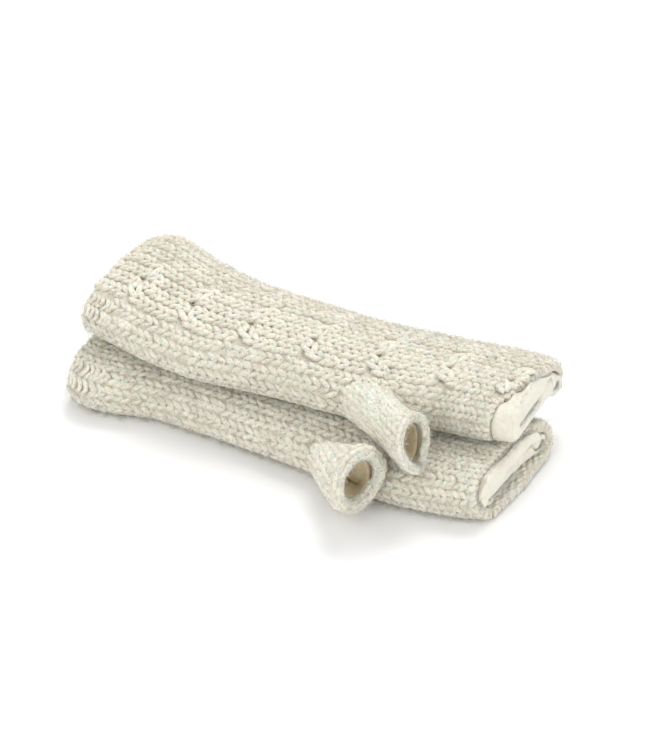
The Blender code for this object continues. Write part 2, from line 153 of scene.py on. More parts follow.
Section = namedtuple("Section", "along near far thick base droop slant")
EndTrim = namedtuple("EndTrim", "place knit_wrist knit_hand lining_wrist lining_hand")
Thumb = namedtuple(
    "Thumb",
    "along half_length place half_place centre heading rise half_wide half_tall reach waist roll pinch fold",
)
Purl = namedtuple("Purl", "start end from_along to_along")
Yarn = namedtuple("Yarn", "points uv tone sunk")
Fibre = namedtuple("Fibre", "reach stand thick")
Grid = namedtuple("Grid", "rows columns hole_rows hole_columns")
Materials = namedtuple("Materials", "yarn backing fuzz fleece tan pile")
Cloth = namedtuple("Cloth", "wall lining thumb_wall thumb_lining stitches thumb_stitches nap")
Lamp = namedtuple("Lamp", "name place size power")
Mitt = namedtuple("Mitt", "name sections trims top_power cable_place thumb purls seed")

BODY_FIBRE = Fibre(reach=4.4, stand=0.9, thick=0.085)
THUMB_FIBRE = Fibre(reach=3.8, stand=0.9, thick=0.085)
RIM_FIBRE = Fibre(reach=2.8, stand=0.8, thick=0.08)
PILE_FIBRE = Fibre(reach=2.2, stand=1.2, thick=0.09)
MOUTH_FIBRE = Fibre(reach=2.2, stand=1.0, thick=0.1)

BACKING_GRID = Grid(rows=84, columns=100, hole_rows=10, hole_columns=14)
LINING_GRID = Grid(rows=80, columns=96, hole_rows=10, hole_columns=14)

# Where each section of the lower hand warmer starts and ends across the table
LOWER_SECTIONS = (
    Section(along=-129, near=-40.0, far=36.0, thick=23.5, base=0, droop=0, slant=0),
    Section(along=-118, near=-48.0, far=37.5, thick=25.0, base=0, droop=0, slant=0),
    Section(along=-100, near=-48.5, far=38.0, thick=25.5, base=0, droop=0, slant=0),
    Section(along=-80, near=-44.5, far=36.5, thick=25.0, base=0, droop=0, slant=0),
    Section(along=-55, near=-45.7, far=34.0, thick=25.0, base=0, droop=0, slant=0),
    Section(along=-25, near=-49.0, far=31.0, thick=25.0, base=0, droop=0, slant=0),
    Section(along=5, near=-53.0, far=27.5, thick=25.0, base=0, droop=0, slant=0),
    Section(along=30, near=-57.5, far=24.0, thick=25.0, base=0, droop=0, slant=0),
    Section(along=55, near=-62.0, far=20.0, thick=25.0, base=0, droop=0, slant=0.3),
    Section(along=80, near=-61.0, far=17.5, thick=24.5, base=0, droop=0, slant=1.5),
    Section(along=100, near=-58.0, far=16.5, thick=24.0, base=0, droop=0, slant=3),
    Section(along=115, near=-52.5, far=16.5, thick=23.0, base=0, droop=0, slant=4),
)
# The upper one hangs a little over the far edge of the lower one, by its droop
UPPER_SECTIONS = (
    Section(along=-131, near=-17.0, far=67.0, thick=23.0, base=26.9, droop=3.0, slant=1),
    Section(along=-120, near=-23.5, far=72.0, thick=25.5, base=26.9, droop=3.0, slant=1),
    Section(along=-107, near=-28.0, far=68.0, thick=26.0, base=26.9, droop=3.5, slant=1),
    Section(along=-90, near=-33.5, far=59.0, thick=26.0, base=26.8, droop=4.5, slant=0.5),
    Section(along=-70, near=-37.5, far=52.0, thick=25.5, base=26.6, droop=5.0, slant=0),
    Section(along=-55, near=-39.5, far=47.5, thick=25.0, base=26.6, droop=5.5, slant=0),
    Section(along=-35, near=-38.5, far=44.5, thick=25.0, base=26.6, droop=6.0, slant=0),
    Section(along=-10, near=-37.5, far=41.0, thick=25.0, base=26.6, droop=6.5, slant=0),
    Section(along=20, near=-38.5, far=38.0, thick=25.0, base=26.6, droop=7.0, slant=0),
    Section(along=50, near=-36.0, far=38.5, thick=25.0, base=26.6, droop=7.5, slant=0),
    Section(along=75, near=-30.5, far=40.0, thick=24.5, base=26.4, droop=7.5, slant=0.5),
    Section(along=95, near=-29.0, far=43.0, thick=24.0, base=26.0, droop=7.5, slant=1.5),
    Section(along=112, near=-24.0, far=42.0, thick=23.0, base=25.6, droop=7.5, slant=2),
)
# How far knitting and lining stop short of each end, by place round the tube: 0 is the middle of the
# underside, 0.25 the near side and 0.5 the top
LOWER_TRIMS = (
    EndTrim(place=0.0, knit_wrist=1.0, knit_hand=0.0, lining_wrist=0.5, lining_hand=7.5),
    EndTrim(place=0.19, knit_wrist=0.6, knit_hand=3.5, lining_wrist=0.1, lining_hand=5.5),
    EndTrim(place=0.3, knit_wrist=0.8, knit_hand=10.2, lining_wrist=0.0, lining_hand=4.8),
    EndTrim(place=0.5, knit_wrist=2.0, knit_hand=9.5, lining_wrist=0.0, lining_hand=4.8),
    EndTrim(place=0.75, knit_wrist=2.5, knit_hand=2.0, lining_wrist=0.0, lining_hand=4.0),
)
UPPER_TRIMS = (
    EndTrim(place=0.0, knit_wrist=2.0, knit_hand=5.0, lining_wrist=0.0, lining_hand=1.2),
    EndTrim(place=0.17, knit_wrist=1.7, knit_hand=12.0, lining_wrist=0.0, lining_hand=0.5),
    EndTrim(place=0.25, knit_wrist=1.5, knit_hand=12.5, lining_wrist=0.0, lining_hand=0.0),
    EndTrim(place=0.31, knit_wrist=1.7, knit_hand=12.5, lining_wrist=0.0, lining_hand=0.0),
    EndTrim(place=0.42, knit_wrist=2.2, knit_hand=6.5, lining_wrist=0.0, lining_hand=0.3),
    EndTrim(place=0.56, knit_wrist=2.5, knit_hand=1.0, lining_wrist=0.0, lining_hand=0.6),
    EndTrim(place=0.75, knit_wrist=2.5, knit_hand=1.5, lining_wrist=0.0, lining_hand=1.0),
)

LOWER_MITT = Mitt(
    name="lower",
    sections=LOWER_SECTIONS,
    trims=LOWER_TRIMS,
    top_power=3.2,
    cable_place=None,
    thumb=Thumb(
        along=34.0,
        half_length=15.0,
        place=0.260,
        half_place=0.050,
        centre=(51.5, -77.8, 26.0),
        heading=-23.0,
        rise=6.0,
        half_wide=17.5,
        half_tall=18.0,
        reach=14.0,
        waist=0.0,
        roll=3.9,
        pinch=0.0,
        fold=(0.35, 0.45, 0.82),
    ),
    purls=(Purl(start=0.255, end=0.345, from_along=-129, to_along=-108),),
    seed=11,
)
UPPER_MITT = Mitt(
    name="upper",
    sections=UPPER_SECTIONS,
    trims=UPPER_TRIMS,
    top_power=2.6,
    cable_place=0.44,
    thumb=Thumb(
        along=39.0,
        half_length=10.0,
        place=0.260,
        half_place=0.050,
        centre=(70.5, -58.3, 39.5),
        heading=-10.0,
        rise=14.0,
        half_wide=15.5,
        half_tall=16.5,
        reach=10.0,
        waist=0.14,
        roll=2.7,
        pinch=0.4,
        fold=(0.17, 0.98, 0.1),
    ),
    purls=(Purl(start=0.265, end=0.335, from_along=-131, to_along=-112),),
    seed=29,
)


def column(rows, name):
    """One named column of a table as an array."""
    return np.array([getattr(row, name) for row in rows], float)


def smooth_between(places, table_places, table_values):
    """Cubic curve through the rows of a table, with each row's slope taken from its neighbours."""
    slopes = np.gradient(table_values, table_places)
    places = np.clip(places, table_places[0], table_places[-1])
    left = np.clip(np.searchsorted(table_places, places, side="right") - 1, 0, len(table_places) - 2)
    span = table_places[left + 1] - table_places[left]
    t = (places - table_places[left]) / span
    from_left = table_values[left] * (1 + 2 * t) * (1 - t) ** 2 + slopes[left] * span * t * (1 - t) ** 2
    from_right = table_values[left + 1] * t**2 * (3 - 2 * t) - slopes[left + 1] * span * t**2 * (1 - t)
    return from_left + from_right


def smooth_step(value):
    """3 t^2 - 2 t^3 of the value held between 0 and 1."""
    t = np.clip(value, 0.0, 1.0)
    return t * t * (3 - 2 * t)


def unit(vectors):
    """The vectors at length 1."""
    return vectors / np.maximum(np.linalg.norm(vectors, axis=-1, keepdims=True), 1e-12)


def unit_profile(top_power):
    """The tube's outline by place round it: a quarter ellipse at each bottom corner, a superellipse above."""
    flat_end = 1 - BOTTOM_CORNER_ACROSS
    turn = np.linspace(0, math.pi / 2, PROFILE_SAMPLES)
    bottom_across = np.concatenate([[0.0], flat_end + BOTTOM_CORNER_ACROSS * np.sin(turn)])
    bottom_height = np.concatenate([[0.0], BOTTOM_CORNER_HEIGHT * (1 - np.cos(turn))])
    top_turn = turn[1:]
    top_across = np.cos(top_turn) ** (2 / top_power)
    top_height = BOTTOM_CORNER_HEIGHT + (1 - BOTTOM_CORNER_HEIGHT) * np.sin(top_turn) ** (2 / top_power)
    half_across = np.concatenate([bottom_across, top_across])
    half_height = np.concatenate([bottom_height, top_height])
    across = np.concatenate([-half_across, half_across[-2::-1]])
    height = np.concatenate([half_height, half_height[-2::-1]])
    steps = np.hypot(np.diff(across) * NOMINAL_HALF_WIDTH, np.diff(height) * NOMINAL_THICKNESS)
    length = np.concatenate([[0.0], np.cumsum(steps)])
    return length / length[-1], across, height, length[-1]


def wobble(along, around, seed, pitch):
    """A smooth uneven value from -1 to 1: the mean of six sine waves across each other, about pitch apart."""
    random = np.random.default_rng(seed)
    total = np.zeros(np.broadcast(along, around).shape)
    for _ in range(6):
        direction = random.uniform(0, 2 * math.pi)
        wave = 2 * math.pi / (pitch * random.uniform(0.7, 1.5))
        total = total + np.sin(
            wave * (along * math.cos(direction) + around * math.sin(direction)) + random.uniform(0, 6.3)
        )
    return total / 6


def surface(mitt, profile, along, place, depth):
    """Points of the tube at a depth under its plain outside: y = middle + half width * across,
    z = base + thickness * height - droop, x = along + slant * across."""
    shares, across, height, _ = profile
    table_along = column(mitt.sections, "along")
    values = {
        name: smooth_between(along, table_along, column(mitt.sections, name))
        for name in ("near", "far", "thick", "base", "droop", "slant")
    }
    half = (values["far"] - values["near"]) / 2 - depth
    middle = (values["far"] + values["near"]) / 2
    unit_across = np.interp(place % 1.0, shares, across)
    unit_height = np.interp(place % 1.0, shares, height)
    hang = values["droop"] * np.clip((unit_across - 0.15) / 0.85, 0, 1) ** 2
    y = middle + half * unit_across
    z = values["base"] + depth + (values["thick"] - 2 * depth) * unit_height - hang
    return np.stack([along + values["slant"] * unit_across, y, z], axis=-1)


def risen(profile, place):
    """0 on the pressed underside, rising to 1 a little up each side."""
    return smooth_step(np.interp(place % 1.0, profile[0], profile[2]) / PRESSED_SHARE)


def trim_amount(mitt, name, place):
    """How far a layer stops short of one end at a place round the tube."""
    table_place = np.append(column(mitt.trims, "place"), 1.0)
    values = column(mitt.trims, name)
    return smooth_between(place % 1.0, table_place, np.append(values, values[0]))


def drawn_back(mitt, layer, along, place):
    """The same places along the tube with both ends of the layer drawn back unevenly round it."""
    from_wrist = np.clip(1 - (along - mitt.sections[0].along) / TRIM_REACH, 0, 1)
    from_hand = np.clip(1 - (mitt.sections[-1].along - along) / TRIM_REACH, 0, 1)
    wrist = trim_amount(mitt, f"{layer}_wrist", place) * from_wrist
    hand = trim_amount(mitt, f"{layer}_hand", place) * from_hand
    return along + wrist - hand


def on_body(mitt, profile, along, place, height):
    """Points of the knitting at a height over its plain outside, and the way out there: surface + normal *
    height, the normal being the cross product of the steps along and round the tube."""
    along = drawn_back(mitt, "knit", along, place)
    base = surface(mitt, profile, along, place, 0.0)
    lengthwise = surface(mitt, profile, along + NORMAL_STEP, place, 0.0) - base
    ahead = surface(mitt, profile, along, place + NORMAL_TURN, 0.0)
    behind = surface(mitt, profile, along, place - NORMAL_TURN, 0.0)
    # The tables end at the tube's ends, so the last step along is kept from vanishing
    lengthwise[..., 0] = np.maximum(lengthwise[..., 0], 0.1)
    normal = unit(np.cross(lengthwise, ahead - behind))
    return base + normal * np.asarray(height)[..., None], normal


def thumb_root(mitt, profile, turn, grow, depth):
    """The superellipse loop round the thumb opening on the body, larger by grow, and the way out there."""
    thumb = mitt.thumb
    u = np.sign(np.cos(turn)) * np.abs(np.cos(turn)) ** (2 / HOLE_POWER)
    v = np.sign(np.sin(turn)) * np.abs(np.sin(turn)) ** (2 / HOLE_POWER)
    along = thumb.along + u * (thumb.half_length + grow)
    place = thumb.place + v * (thumb.half_place + grow / profile[3])
    onward = surface(mitt, profile, along + NORMAL_STEP, place, depth)
    backward = surface(mitt, profile, along - NORMAL_STEP, place, depth)
    ahead = surface(mitt, profile, along, place + NORMAL_TURN, depth)
    behind = surface(mitt, profile, along, place - NORMAL_TURN, depth)
    return surface(mitt, profile, along, place, depth), unit(np.cross(onward - backward, ahead - behind))


def thumb_rim(thumb, turn, grow):
    """The ellipse at the thumb tube's open end, and the way it faces."""
    heading = math.radians(thumb.heading)
    rise = math.radians(thumb.rise)
    level = math.cos(rise)
    facing = np.array([math.cos(heading) * level, math.sin(heading) * level, math.sin(rise)])
    sideways = np.array([-math.sin(heading), math.cos(heading), 0.0])
    upward = np.cross(facing, sideways)
    narrowed = 1 - thumb.pinch * (0.5 - 0.5 * np.sin(turn)) ** 2
    across = (narrowed * np.cos(turn))[..., None] * sideways * (thumb.half_wide + grow)[..., None]
    up = np.sin(turn)[..., None] * upward * (thumb.half_tall + grow)[..., None]
    return np.array(thumb.centre) + across + up, facing


def thumb_curve(mitt, profile, share, turn, grow, rim_grow):
    """Cubic curves from the thumb opening to the rim: a Hermite blend of both ends and their ways out."""
    grow = np.broadcast_to(grow, turn.shape)
    rim_grow = np.broadcast_to(rim_grow, turn.shape)
    root, normals = thumb_root(mitt, profile, turn, grow, -THUMB_GAP)
    rim, facing = thumb_rim(mitt.thumb, turn, rim_grow)
    reach = mitt.thumb.reach
    slanting = ROOT_SLANT * (0.5 - 0.5 * np.cos(turn))[..., None]
    start = normals * (1 - slanting) + facing * slanting
    s = share[..., None]
    from_root = root * (1 + 2 * s) * (1 - s) ** 2 + start * reach * s * (1 - s) ** 2
    from_rim = rim * s**2 * (3 - 2 * s) - facing * reach * s**2 * (1 - s)
    return from_root + from_rim


def thumb_surface(mitt, profile, share, turn, depth, root_grow=THUMB_WALL, rim_grow=0.0):
    """Points of the thumb tube at a depth under its outside, drawn in at its waist about its middle line."""
    share, turn, depth = np.broadcast_arrays(np.asarray(share, float), turn, depth)
    every_turn = np.linspace(0, 2 * math.pi, 64, endpoint=False)
    samples = np.linspace(0, 1, 33)
    rings = thumb_curve(mitt, profile, *np.meshgrid(samples, every_turn, indexing="ij"), 0.0, -THUMB_WALL)
    line = rings.mean(axis=1)
    middle = np.stack([np.interp(share, samples, line[:, k]) for k in range(3)], axis=-1)
    points = thumb_curve(mitt, profile, share, turn, root_grow - depth, rim_grow - depth)
    drawn_in = 1 - mitt.thumb.waist * 4 * share * (1 - share)
    points = middle + (points - middle) * drawn_in[..., None]
    points[..., 2] = np.maximum(points[..., 2], 0.0)
    return points


def thumb_length(mitt, profile):
    """The mean length of the thumb tube's outside from root to rim."""
    share = np.linspace(0, 1, 20)[:, None]
    turn = np.linspace(0, 2 * math.pi, 24)[None, :]
    steps = np.diff(thumb_surface(mitt, profile, share, turn, 0.0), axis=0)
    return np.linalg.norm(steps, axis=-1).sum(axis=0).mean()


def on_thumb(mitt, profile, share, turn, height):
    """Points of the thumb's knitting at a height over its plain outside, and the way out there."""
    step = 0.02
    share, turn, height = np.broadcast_arrays(np.asarray(share, float), turn, height)
    low = np.clip(share - step, 0, 1)
    high = np.clip(share + step, 0, 1)
    onward = thumb_surface(mitt, profile, high, turn, 0.0)
    backward = thumb_surface(mitt, profile, low, turn, 0.0)
    ahead = thumb_surface(mitt, profile, share, turn + step, 0.0)
    behind = thumb_surface(mitt, profile, share, turn - step, 0.0)
    normal = unit(np.cross(ahead - behind, onward - backward))
    base = thumb_surface(mitt, profile, share, turn, 0.0)
    outer = unit(base - base.mean(axis=tuple(range(base.ndim - 1)), keepdims=True))
    # The way out is turned so that most points agree with leaving the tube's middle
    side = 1.0 if (normal * outer).sum() > 0 else -1.0
    return base + normal * side * height[..., None], normal * side


def add_mesh(name, points, faces, material, yarn=None):
    """A mesh piece from points in millimetres and groups of faces with equally many corners. The yarn's
    coordinates go into a UV map, and its own random tone and its painted shade into attributes."""
    points = np.asarray(points, float).reshape(-1, 3)
    corners = np.concatenate([group.ravel() for group in faces]).astype(np.int32)
    sizes = np.concatenate([np.full(len(group), group.shape[1]) for group in faces])
    starts = np.concatenate([[0], np.cumsum(sizes)[:-1]]).astype(np.int32)
    mesh = bpy.data.meshes.new(name)
    mesh.vertices.add(len(points))
    mesh.vertices.foreach_set("co", ((points - PAIR_MIDDLE) * MM).astype(np.float32).ravel())
    mesh.loops.add(len(corners))
    mesh.loops.foreach_set("vertex_index", corners)
    mesh.polygons.add(len(sizes))
    mesh.polygons.foreach_set("loop_start", starts)
    mesh.polygons.foreach_set("use_smooth", np.ones(len(sizes), bool))
    mesh.update(calc_edges=True)
    if yarn is not None:
        layer = mesh.uv_layers.new(name="yarn")
        layer.data.foreach_set("uv", yarn.uv.reshape(-1, 2)[corners].astype(np.float32).ravel())
        for attribute_name in ("tone", "sunk"):
            attribute = mesh.attributes.new(attribute_name, "FLOAT", "POINT")
            attribute.data.foreach_set("value", getattr(yarn, attribute_name).astype(np.float32).ravel())
    mesh.validate()
    mesh.materials.append(material)
    piece = bpy.data.objects.new(name, mesh)
    bpy.context.scene.collection.objects.link(piece)
    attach(piece, "root")
    return piece


def tube_faces(count, steps, ring):
    """Faces of many tubes with steps rings of ring points: quads between rings and a cap at each end."""
    first = (np.arange(count) * steps * ring)[:, None, None]
    row = (np.arange(steps - 1) * ring)[None, :, None]
    here = np.arange(ring)[None, None, :]
    beside = (here + 1) % ring
    near = first + row
    corners = (near + here, near + ring + here, near + ring + beside, near + beside)
    quads = np.stack(np.broadcast_arrays(*corners), axis=-1).reshape(-1, 4)
    start = (first[:, 0] + np.arange(ring)[None, :]).reshape(-1, ring)
    end = (first[:, 0] + (steps - 1) * ring + np.arange(ring)[::-1][None, :]).reshape(-1, ring)
    return [quads, np.concatenate([start, end])]


def tubes(centre, normal, across_radius, height_radius, ring, tone, sunk):
    """Rings round many centre curves: centre + across * cos * radius + normal * sin * radius. The yarn's
    coordinates are millimetres along it and turns round it, shifted by a different amount on each tube."""
    tangent = unit(np.gradient(centre, axis=1))
    upright = unit(normal - (normal * tangent).sum(axis=-1, keepdims=True) * tangent)
    across = np.cross(tangent, upright)
    angle = (ring - 0.25) * 2 * math.pi
    offset = (
        across[:, :, None] * np.cos(angle)[:, None] * across_radius[..., None, None]
        + upright[:, :, None] * np.sin(angle)[:, None] * height_radius[..., None, None]
    )
    random = np.random.default_rng(len(centre))
    rough = 1 + YARN_ROUGHNESS * random.normal(0, 1, offset.shape[:3] + (1,))
    points = centre[:, :, None] + offset * rough
    steps = np.linalg.norm(np.diff(centre, axis=1), axis=-1)
    run = np.concatenate([np.zeros((len(centre), 1)), np.cumsum(steps, axis=1)], axis=1)
    number = np.arange(len(centre))[:, None, None]
    u = run[:, :, None] + number * 7.31 + np.zeros(len(ring))
    v = ring + number * 0.37 + np.zeros_like(u)
    # Painted shade: the darkening given for where the yarn lies deep, and more on each yarn's underside
    deep = sunk[..., None] + height_radius[..., None] * (1 - np.sin(angle))
    return Yarn(points, np.stack([u, v], axis=-1), np.broadcast_to(tone[:, None, None], deep.shape), deep)


def plain_columns(mitt, girth):
    """The middles and widths, as places round the tube, of the columns of plain knitting."""
    if mitt.cable_place is None:
        start, end = 0.0, 1.0
    else:
        half = CABLE_HALF_WIDTH / girth
        start, end = mitt.cable_place + half, 1 + mitt.cable_place - half
    count = round((end - start) * girth / COLUMN_WIDTH)
    width = (end - start) / count
    return start + width * (np.arange(count) + 0.5), width


def rows_of(mitt):
    """Where the rows of stitches start along the tube, from the hand end to the wrist end."""
    first = mitt.sections[0].along
    last = mitt.sections[-1].along
    count = round((last - first) / ROW_PITCH)
    return last - (np.arange(count) + 0.5) * (last - first) / count, (last - first) / count


def leg_shape(steps):
    """The leg of a stitch by its share of length: sideways, dip under the crest and plumpness."""
    t = np.linspace(0, 1, steps)
    sideways = LEG_FOOT + LEG_LEAN * (0.5 * t + 0.5 * smooth_step(t))
    dip = APEX_DIP * (1 - t) ** 3 + OUTER_DIP * t**4
    plump = 0.45 + 0.55 * np.sin(math.pi * (0.06 + 0.88 * t)) ** 0.7
    return t, sideways, dip, plump


def in_hole(mitt, profile, along, place, grow):
    """Whether a point lies in the thumb opening grown by a distance."""
    u = (along - mitt.thumb.along) / (mitt.thumb.half_length + grow)
    v = ((place - mitt.thumb.place + 0.5) % 1.0 - 0.5) / (mitt.thumb.half_place + grow / profile[3])
    return np.abs(u) ** HOLE_POWER + np.abs(v) ** HOLE_POWER < 1


def in_purl(mitt, along, place):
    """Whether a point lies in one of the patches of purl bumps at the wrist end."""
    inside = np.zeros(np.broadcast(along, place).shape, bool)
    for patch in mitt.purls:
        inside |= (place % 1.0 > patch.start) & (place % 1.0 < patch.end) & (along < patch.to_along)
    return inside


def body_legs(mitt, profile, steps, ring, underside):
    """The V stitches of the plain columns, two legs each, flattened where the hand warmer is pressed."""
    random = np.random.default_rng(mitt.seed + 7 * underside)
    middles, width = plain_columns(mitt, profile[3])
    rows, pitch = rows_of(mitt)
    t, sideways, dip, plump = leg_shape(steps)
    side, middle, row = np.meshgrid([-1.0, 1.0], middles, rows, indexing="ij")
    side, middle, row = side.ravel(), middle.ravel(), row.ravel()
    pressed = (middle % 1.0 < UNDERSIDE_PLACE) | (middle % 1.0 > 1 - UNDERSIDE_PLACE)
    keep = pressed == underside
    keep &= ~in_hole(mitt, profile, row, middle + side * width * 0.2, THUMB_WALL - 0.4)
    keep &= ~in_purl(mitt, row, middle)
    side, middle, row = side[keep], middle[keep], row[keep]
    jitter = random.normal(0, 1, (5, len(side)))
    uneven = wobble(row, middle * profile[3], mitt.seed, 30.0)
    wander = COLUMN_WANDER * wobble(row, middle * profile[3], mitt.seed + 1, 45.0) / profile[3]
    length = LEG_LENGTH * pitch * (1 + 0.05 * jitter[0] + 0.04 * uneven)
    start = row + pitch * LEG_START + 0.35 * jitter[1]
    along = start[:, None] - length[:, None] * t
    lean = sideways * (1 + 0.12 * jitter[2][:, None])
    place = (middle + wander + 0.0007 * jitter[3])[:, None] + side[:, None] * lean * width
    first = mitt.sections[0].along
    last = mitt.sections[-1].along
    along = np.clip(along, first + 0.8, last - 0.8)
    up = risen(profile, place)
    fat = 1 + 0.11 * jitter[4][:, None] + 0.07 * uneven[:, None]
    across_radius = YARN_ACROSS * plump * fat
    height_radius = YARN_HEIGHT * plump * fat * (0.6 + 0.4 * up)
    upward = np.interp(place % 1.0, profile[0], profile[2])
    soft = 1 - TOP_SOFTNESS * smooth_step((upward - 0.7) / 0.3)
    crest = RIB_HEIGHT * up + 0.25 * up * uneven[:, None] + 0.12 * up * soft * jitter[2][:, None]
    height = crest - height_radius.max(axis=1, keepdims=True) - dip * (0.35 + 0.65 * up) * soft
    centre, normal = on_body(mitt, profile, along, place, height)
    return tubes(centre, normal, across_radius, height_radius, ring, jitter[0], dip + np.zeros_like(place))


def purl_bumps(mitt, profile, steps, ring):
    """Purl bumps: arcs of yarn across a patch, their middles a little nearer the hand end."""
    random = np.random.default_rng(mitt.seed + 3)
    groups = []
    for patch in mitt.purls:
        rows = np.arange(patch.from_along + 2.2, patch.to_along, ROW_PITCH * PURL_ROW_SHARE)
        middles = patch.start + (patch.end - patch.start) * (np.arange(PURL_COLUMNS) + 0.5) / PURL_COLUMNS
        row, middle = [grid.ravel() for grid in np.meshgrid(rows, middles, indexing="ij")]
        t = np.linspace(-1, 1, steps)
        jitter = random.normal(0, 1, (3, len(row)))
        half = (patch.end - patch.start) / PURL_COLUMNS * 0.5
        along = row[:, None] + PURL_BOW * (1 - t**2) + 0.35 * jitter[0][:, None]
        place = middle[:, None] + half * t + 0.0008 * jitter[1][:, None]
        plump = 0.55 + 0.45 * np.sqrt(np.clip(1 - t**2 * 0.95, 0, 1))
        radius = PURL_YARN * plump * (1 + 0.08 * jitter[2][:, None])
        dip = 1.3 * t**4 + np.zeros_like(place)
        centre, normal = on_body(mitt, profile, along, place, RIB_HEIGHT + PURL_RISE - PURL_YARN - dip)
        groups.append(tubes(centre, normal, radius, radius, ring, jitter[2], dip))
    return Yarn(*[np.concatenate(parts) for parts in zip(*groups)])


def strand_way(run):
    """A strand by its run from where it comes out from under its neighbour. It keeps to the inner lane for a
    repeat, moves outwards over its neighbour, fast and then slower, and a repeat later sinks under the
    next."""
    over = np.clip((run - CABLE_REPEAT) / CROSSING, 0, 1)
    distance = STRAND_INNER + (STRAND_OUTER - STRAND_INNER) * (1 - (1 - over) ** CROSSING_POWER)
    sinking = smooth_step((run - 2 * CABLE_REPEAT + SINKING_EARLY) / SINKING)
    hidden = 1 - smooth_step(run / EMERGING) + sinking
    pillow = 0.6 * np.exp(-(((run - 9.0) / 6.0) ** 2))
    height = STRAND_HEIGHT + OVER_LIFT * np.sin(math.pi * over**0.7) + pillow - UNDER_DIP * hidden
    return distance, height, hidden


def cable_legs(mitt, profile, steps, ring):
    """The horseshoe cable: strands on both sides of its middle, one more pair coming out in every repeat.
    Each is a column of V stitches set across its strand's way."""
    random = np.random.default_rng(mitt.seed + 5)
    first = mitt.sections[0].along
    last = mitt.sections[-1].along
    t, sideways, dip, plump = leg_shape(steps)
    length = 2 * CABLE_REPEAT + SINKING - SINKING_EARLY
    strands = np.arange(-2, math.ceil((last - CABLE_FIRST) / CABLE_REPEAT))
    runs = (np.arange(round(length / ROW_PITCH)) + 0.5) * ROW_PITCH
    half, side, strand, run = [
        grid.ravel() for grid in np.meshgrid([-1.0, 1.0], [-1.0, 1.0], strands, runs, indexing="ij")
    ]
    out = CABLE_FIRST + strand * CABLE_REPEAT
    keep = (out + run > first + 1.0) & (out + run < last - 1.0)
    half, side, run, out = half[keep], side[keep], run[keep], out[keep]
    jitter = random.normal(0, 1, (5, len(run)))
    reach = LEG_LENGTH * ROW_PITCH * (1.05 + 0.05 * jitter[0])
    run = (run + ROW_PITCH * LEG_START + 0.25 * jitter[1])[:, None] - reach[:, None] * t
    distance, lift, hidden = strand_way(run)
    slope = strand_way(run + 0.5)[0] - strand_way(run - 0.5)[0]
    straight = 1 / np.sqrt(1 + slope**2)
    across = side[:, None] * sideways * STRAND_WIDTH * (1 + 0.06 * jitter[2][:, None])
    along = out[:, None] + run - half[:, None] * across * slope * straight
    along = np.clip(along, first + 0.8, last - 0.8)
    around = half[:, None] * distance + across * straight + 0.12 * jitter[3][:, None]
    place = mitt.cable_place + around / profile[3]
    fat = 1.06 + 0.06 * jitter[4][:, None]
    across_radius = YARN_ACROSS * plump * fat
    height_radius = YARN_HEIGHT * plump * fat
    height = lift - height_radius.max(axis=1, keepdims=True) - 0.6 * dip
    centre, normal = on_body(mitt, profile, along, place, height)
    # Painted shade in the cable: where a leg dips, where a strand lies under its neighbour, and in the groove
    # where strands come out
    shaded = dip + 3.0 * hidden + SHADED_GROOVE * np.exp(-((run / EMERGING) ** 2))
    return tubes(centre, normal, across_radius, height_radius, ring, jitter[0], shaded)


def rim_bumps(mitt, profile, steps, ring):
    """Cast-on and bind-off bumps: yarn bent over each end of the wall, from its outside to its inside."""
    random = np.random.default_rng(mitt.seed + 9)
    count = round(profile[3] / COLUMN_WIDTH * 2)
    places = (np.arange(count) + 0.5) / count
    first = mitt.sections[0].along
    last = mitt.sections[-1].along
    turn = np.linspace(-0.35 * math.pi, 1.3 * math.pi, steps)
    groups = []
    for end, outwards in ((first, -1.0), (last, 1.0)):
        jitter = random.normal(0, 1, (3, count))
        place = places[:, None] + 0.3 / count * np.sin(turn) + 0.0006 * jitter[0][:, None]
        inset = RIM_YARN + RIM_INSET
        bulge = np.sin(turn) * (KNIT_WALL / 2 - RIM_YARN)
        along = end + outwards * (bulge - inset) + 0.3 * jitter[1][:, None]
        depth = KNIT_WALL / 2 - np.cos(turn) * (KNIT_WALL / 2 - RIM_YARN) - 0.4
        up = risen(profile, place)
        centre, normal = on_body(mitt, profile, along, place, -depth - 0.4 * (1 - up))
        tilt = np.stack([outwards * np.sin(turn), np.zeros(steps), np.zeros(steps)], axis=-1)
        way = unit(normal * np.cos(turn)[:, None] + tilt)
        radius = RIM_YARN * (0.75 + 0.25 * np.sin(math.pi * np.linspace(0, 1, steps))) + np.zeros_like(place)
        groups.append(tubes(centre, way, radius * 1.25, radius, ring, jitter[2], 0.8 + np.zeros_like(place)))
    return Yarn(*[np.concatenate(parts) for parts in zip(*groups)])


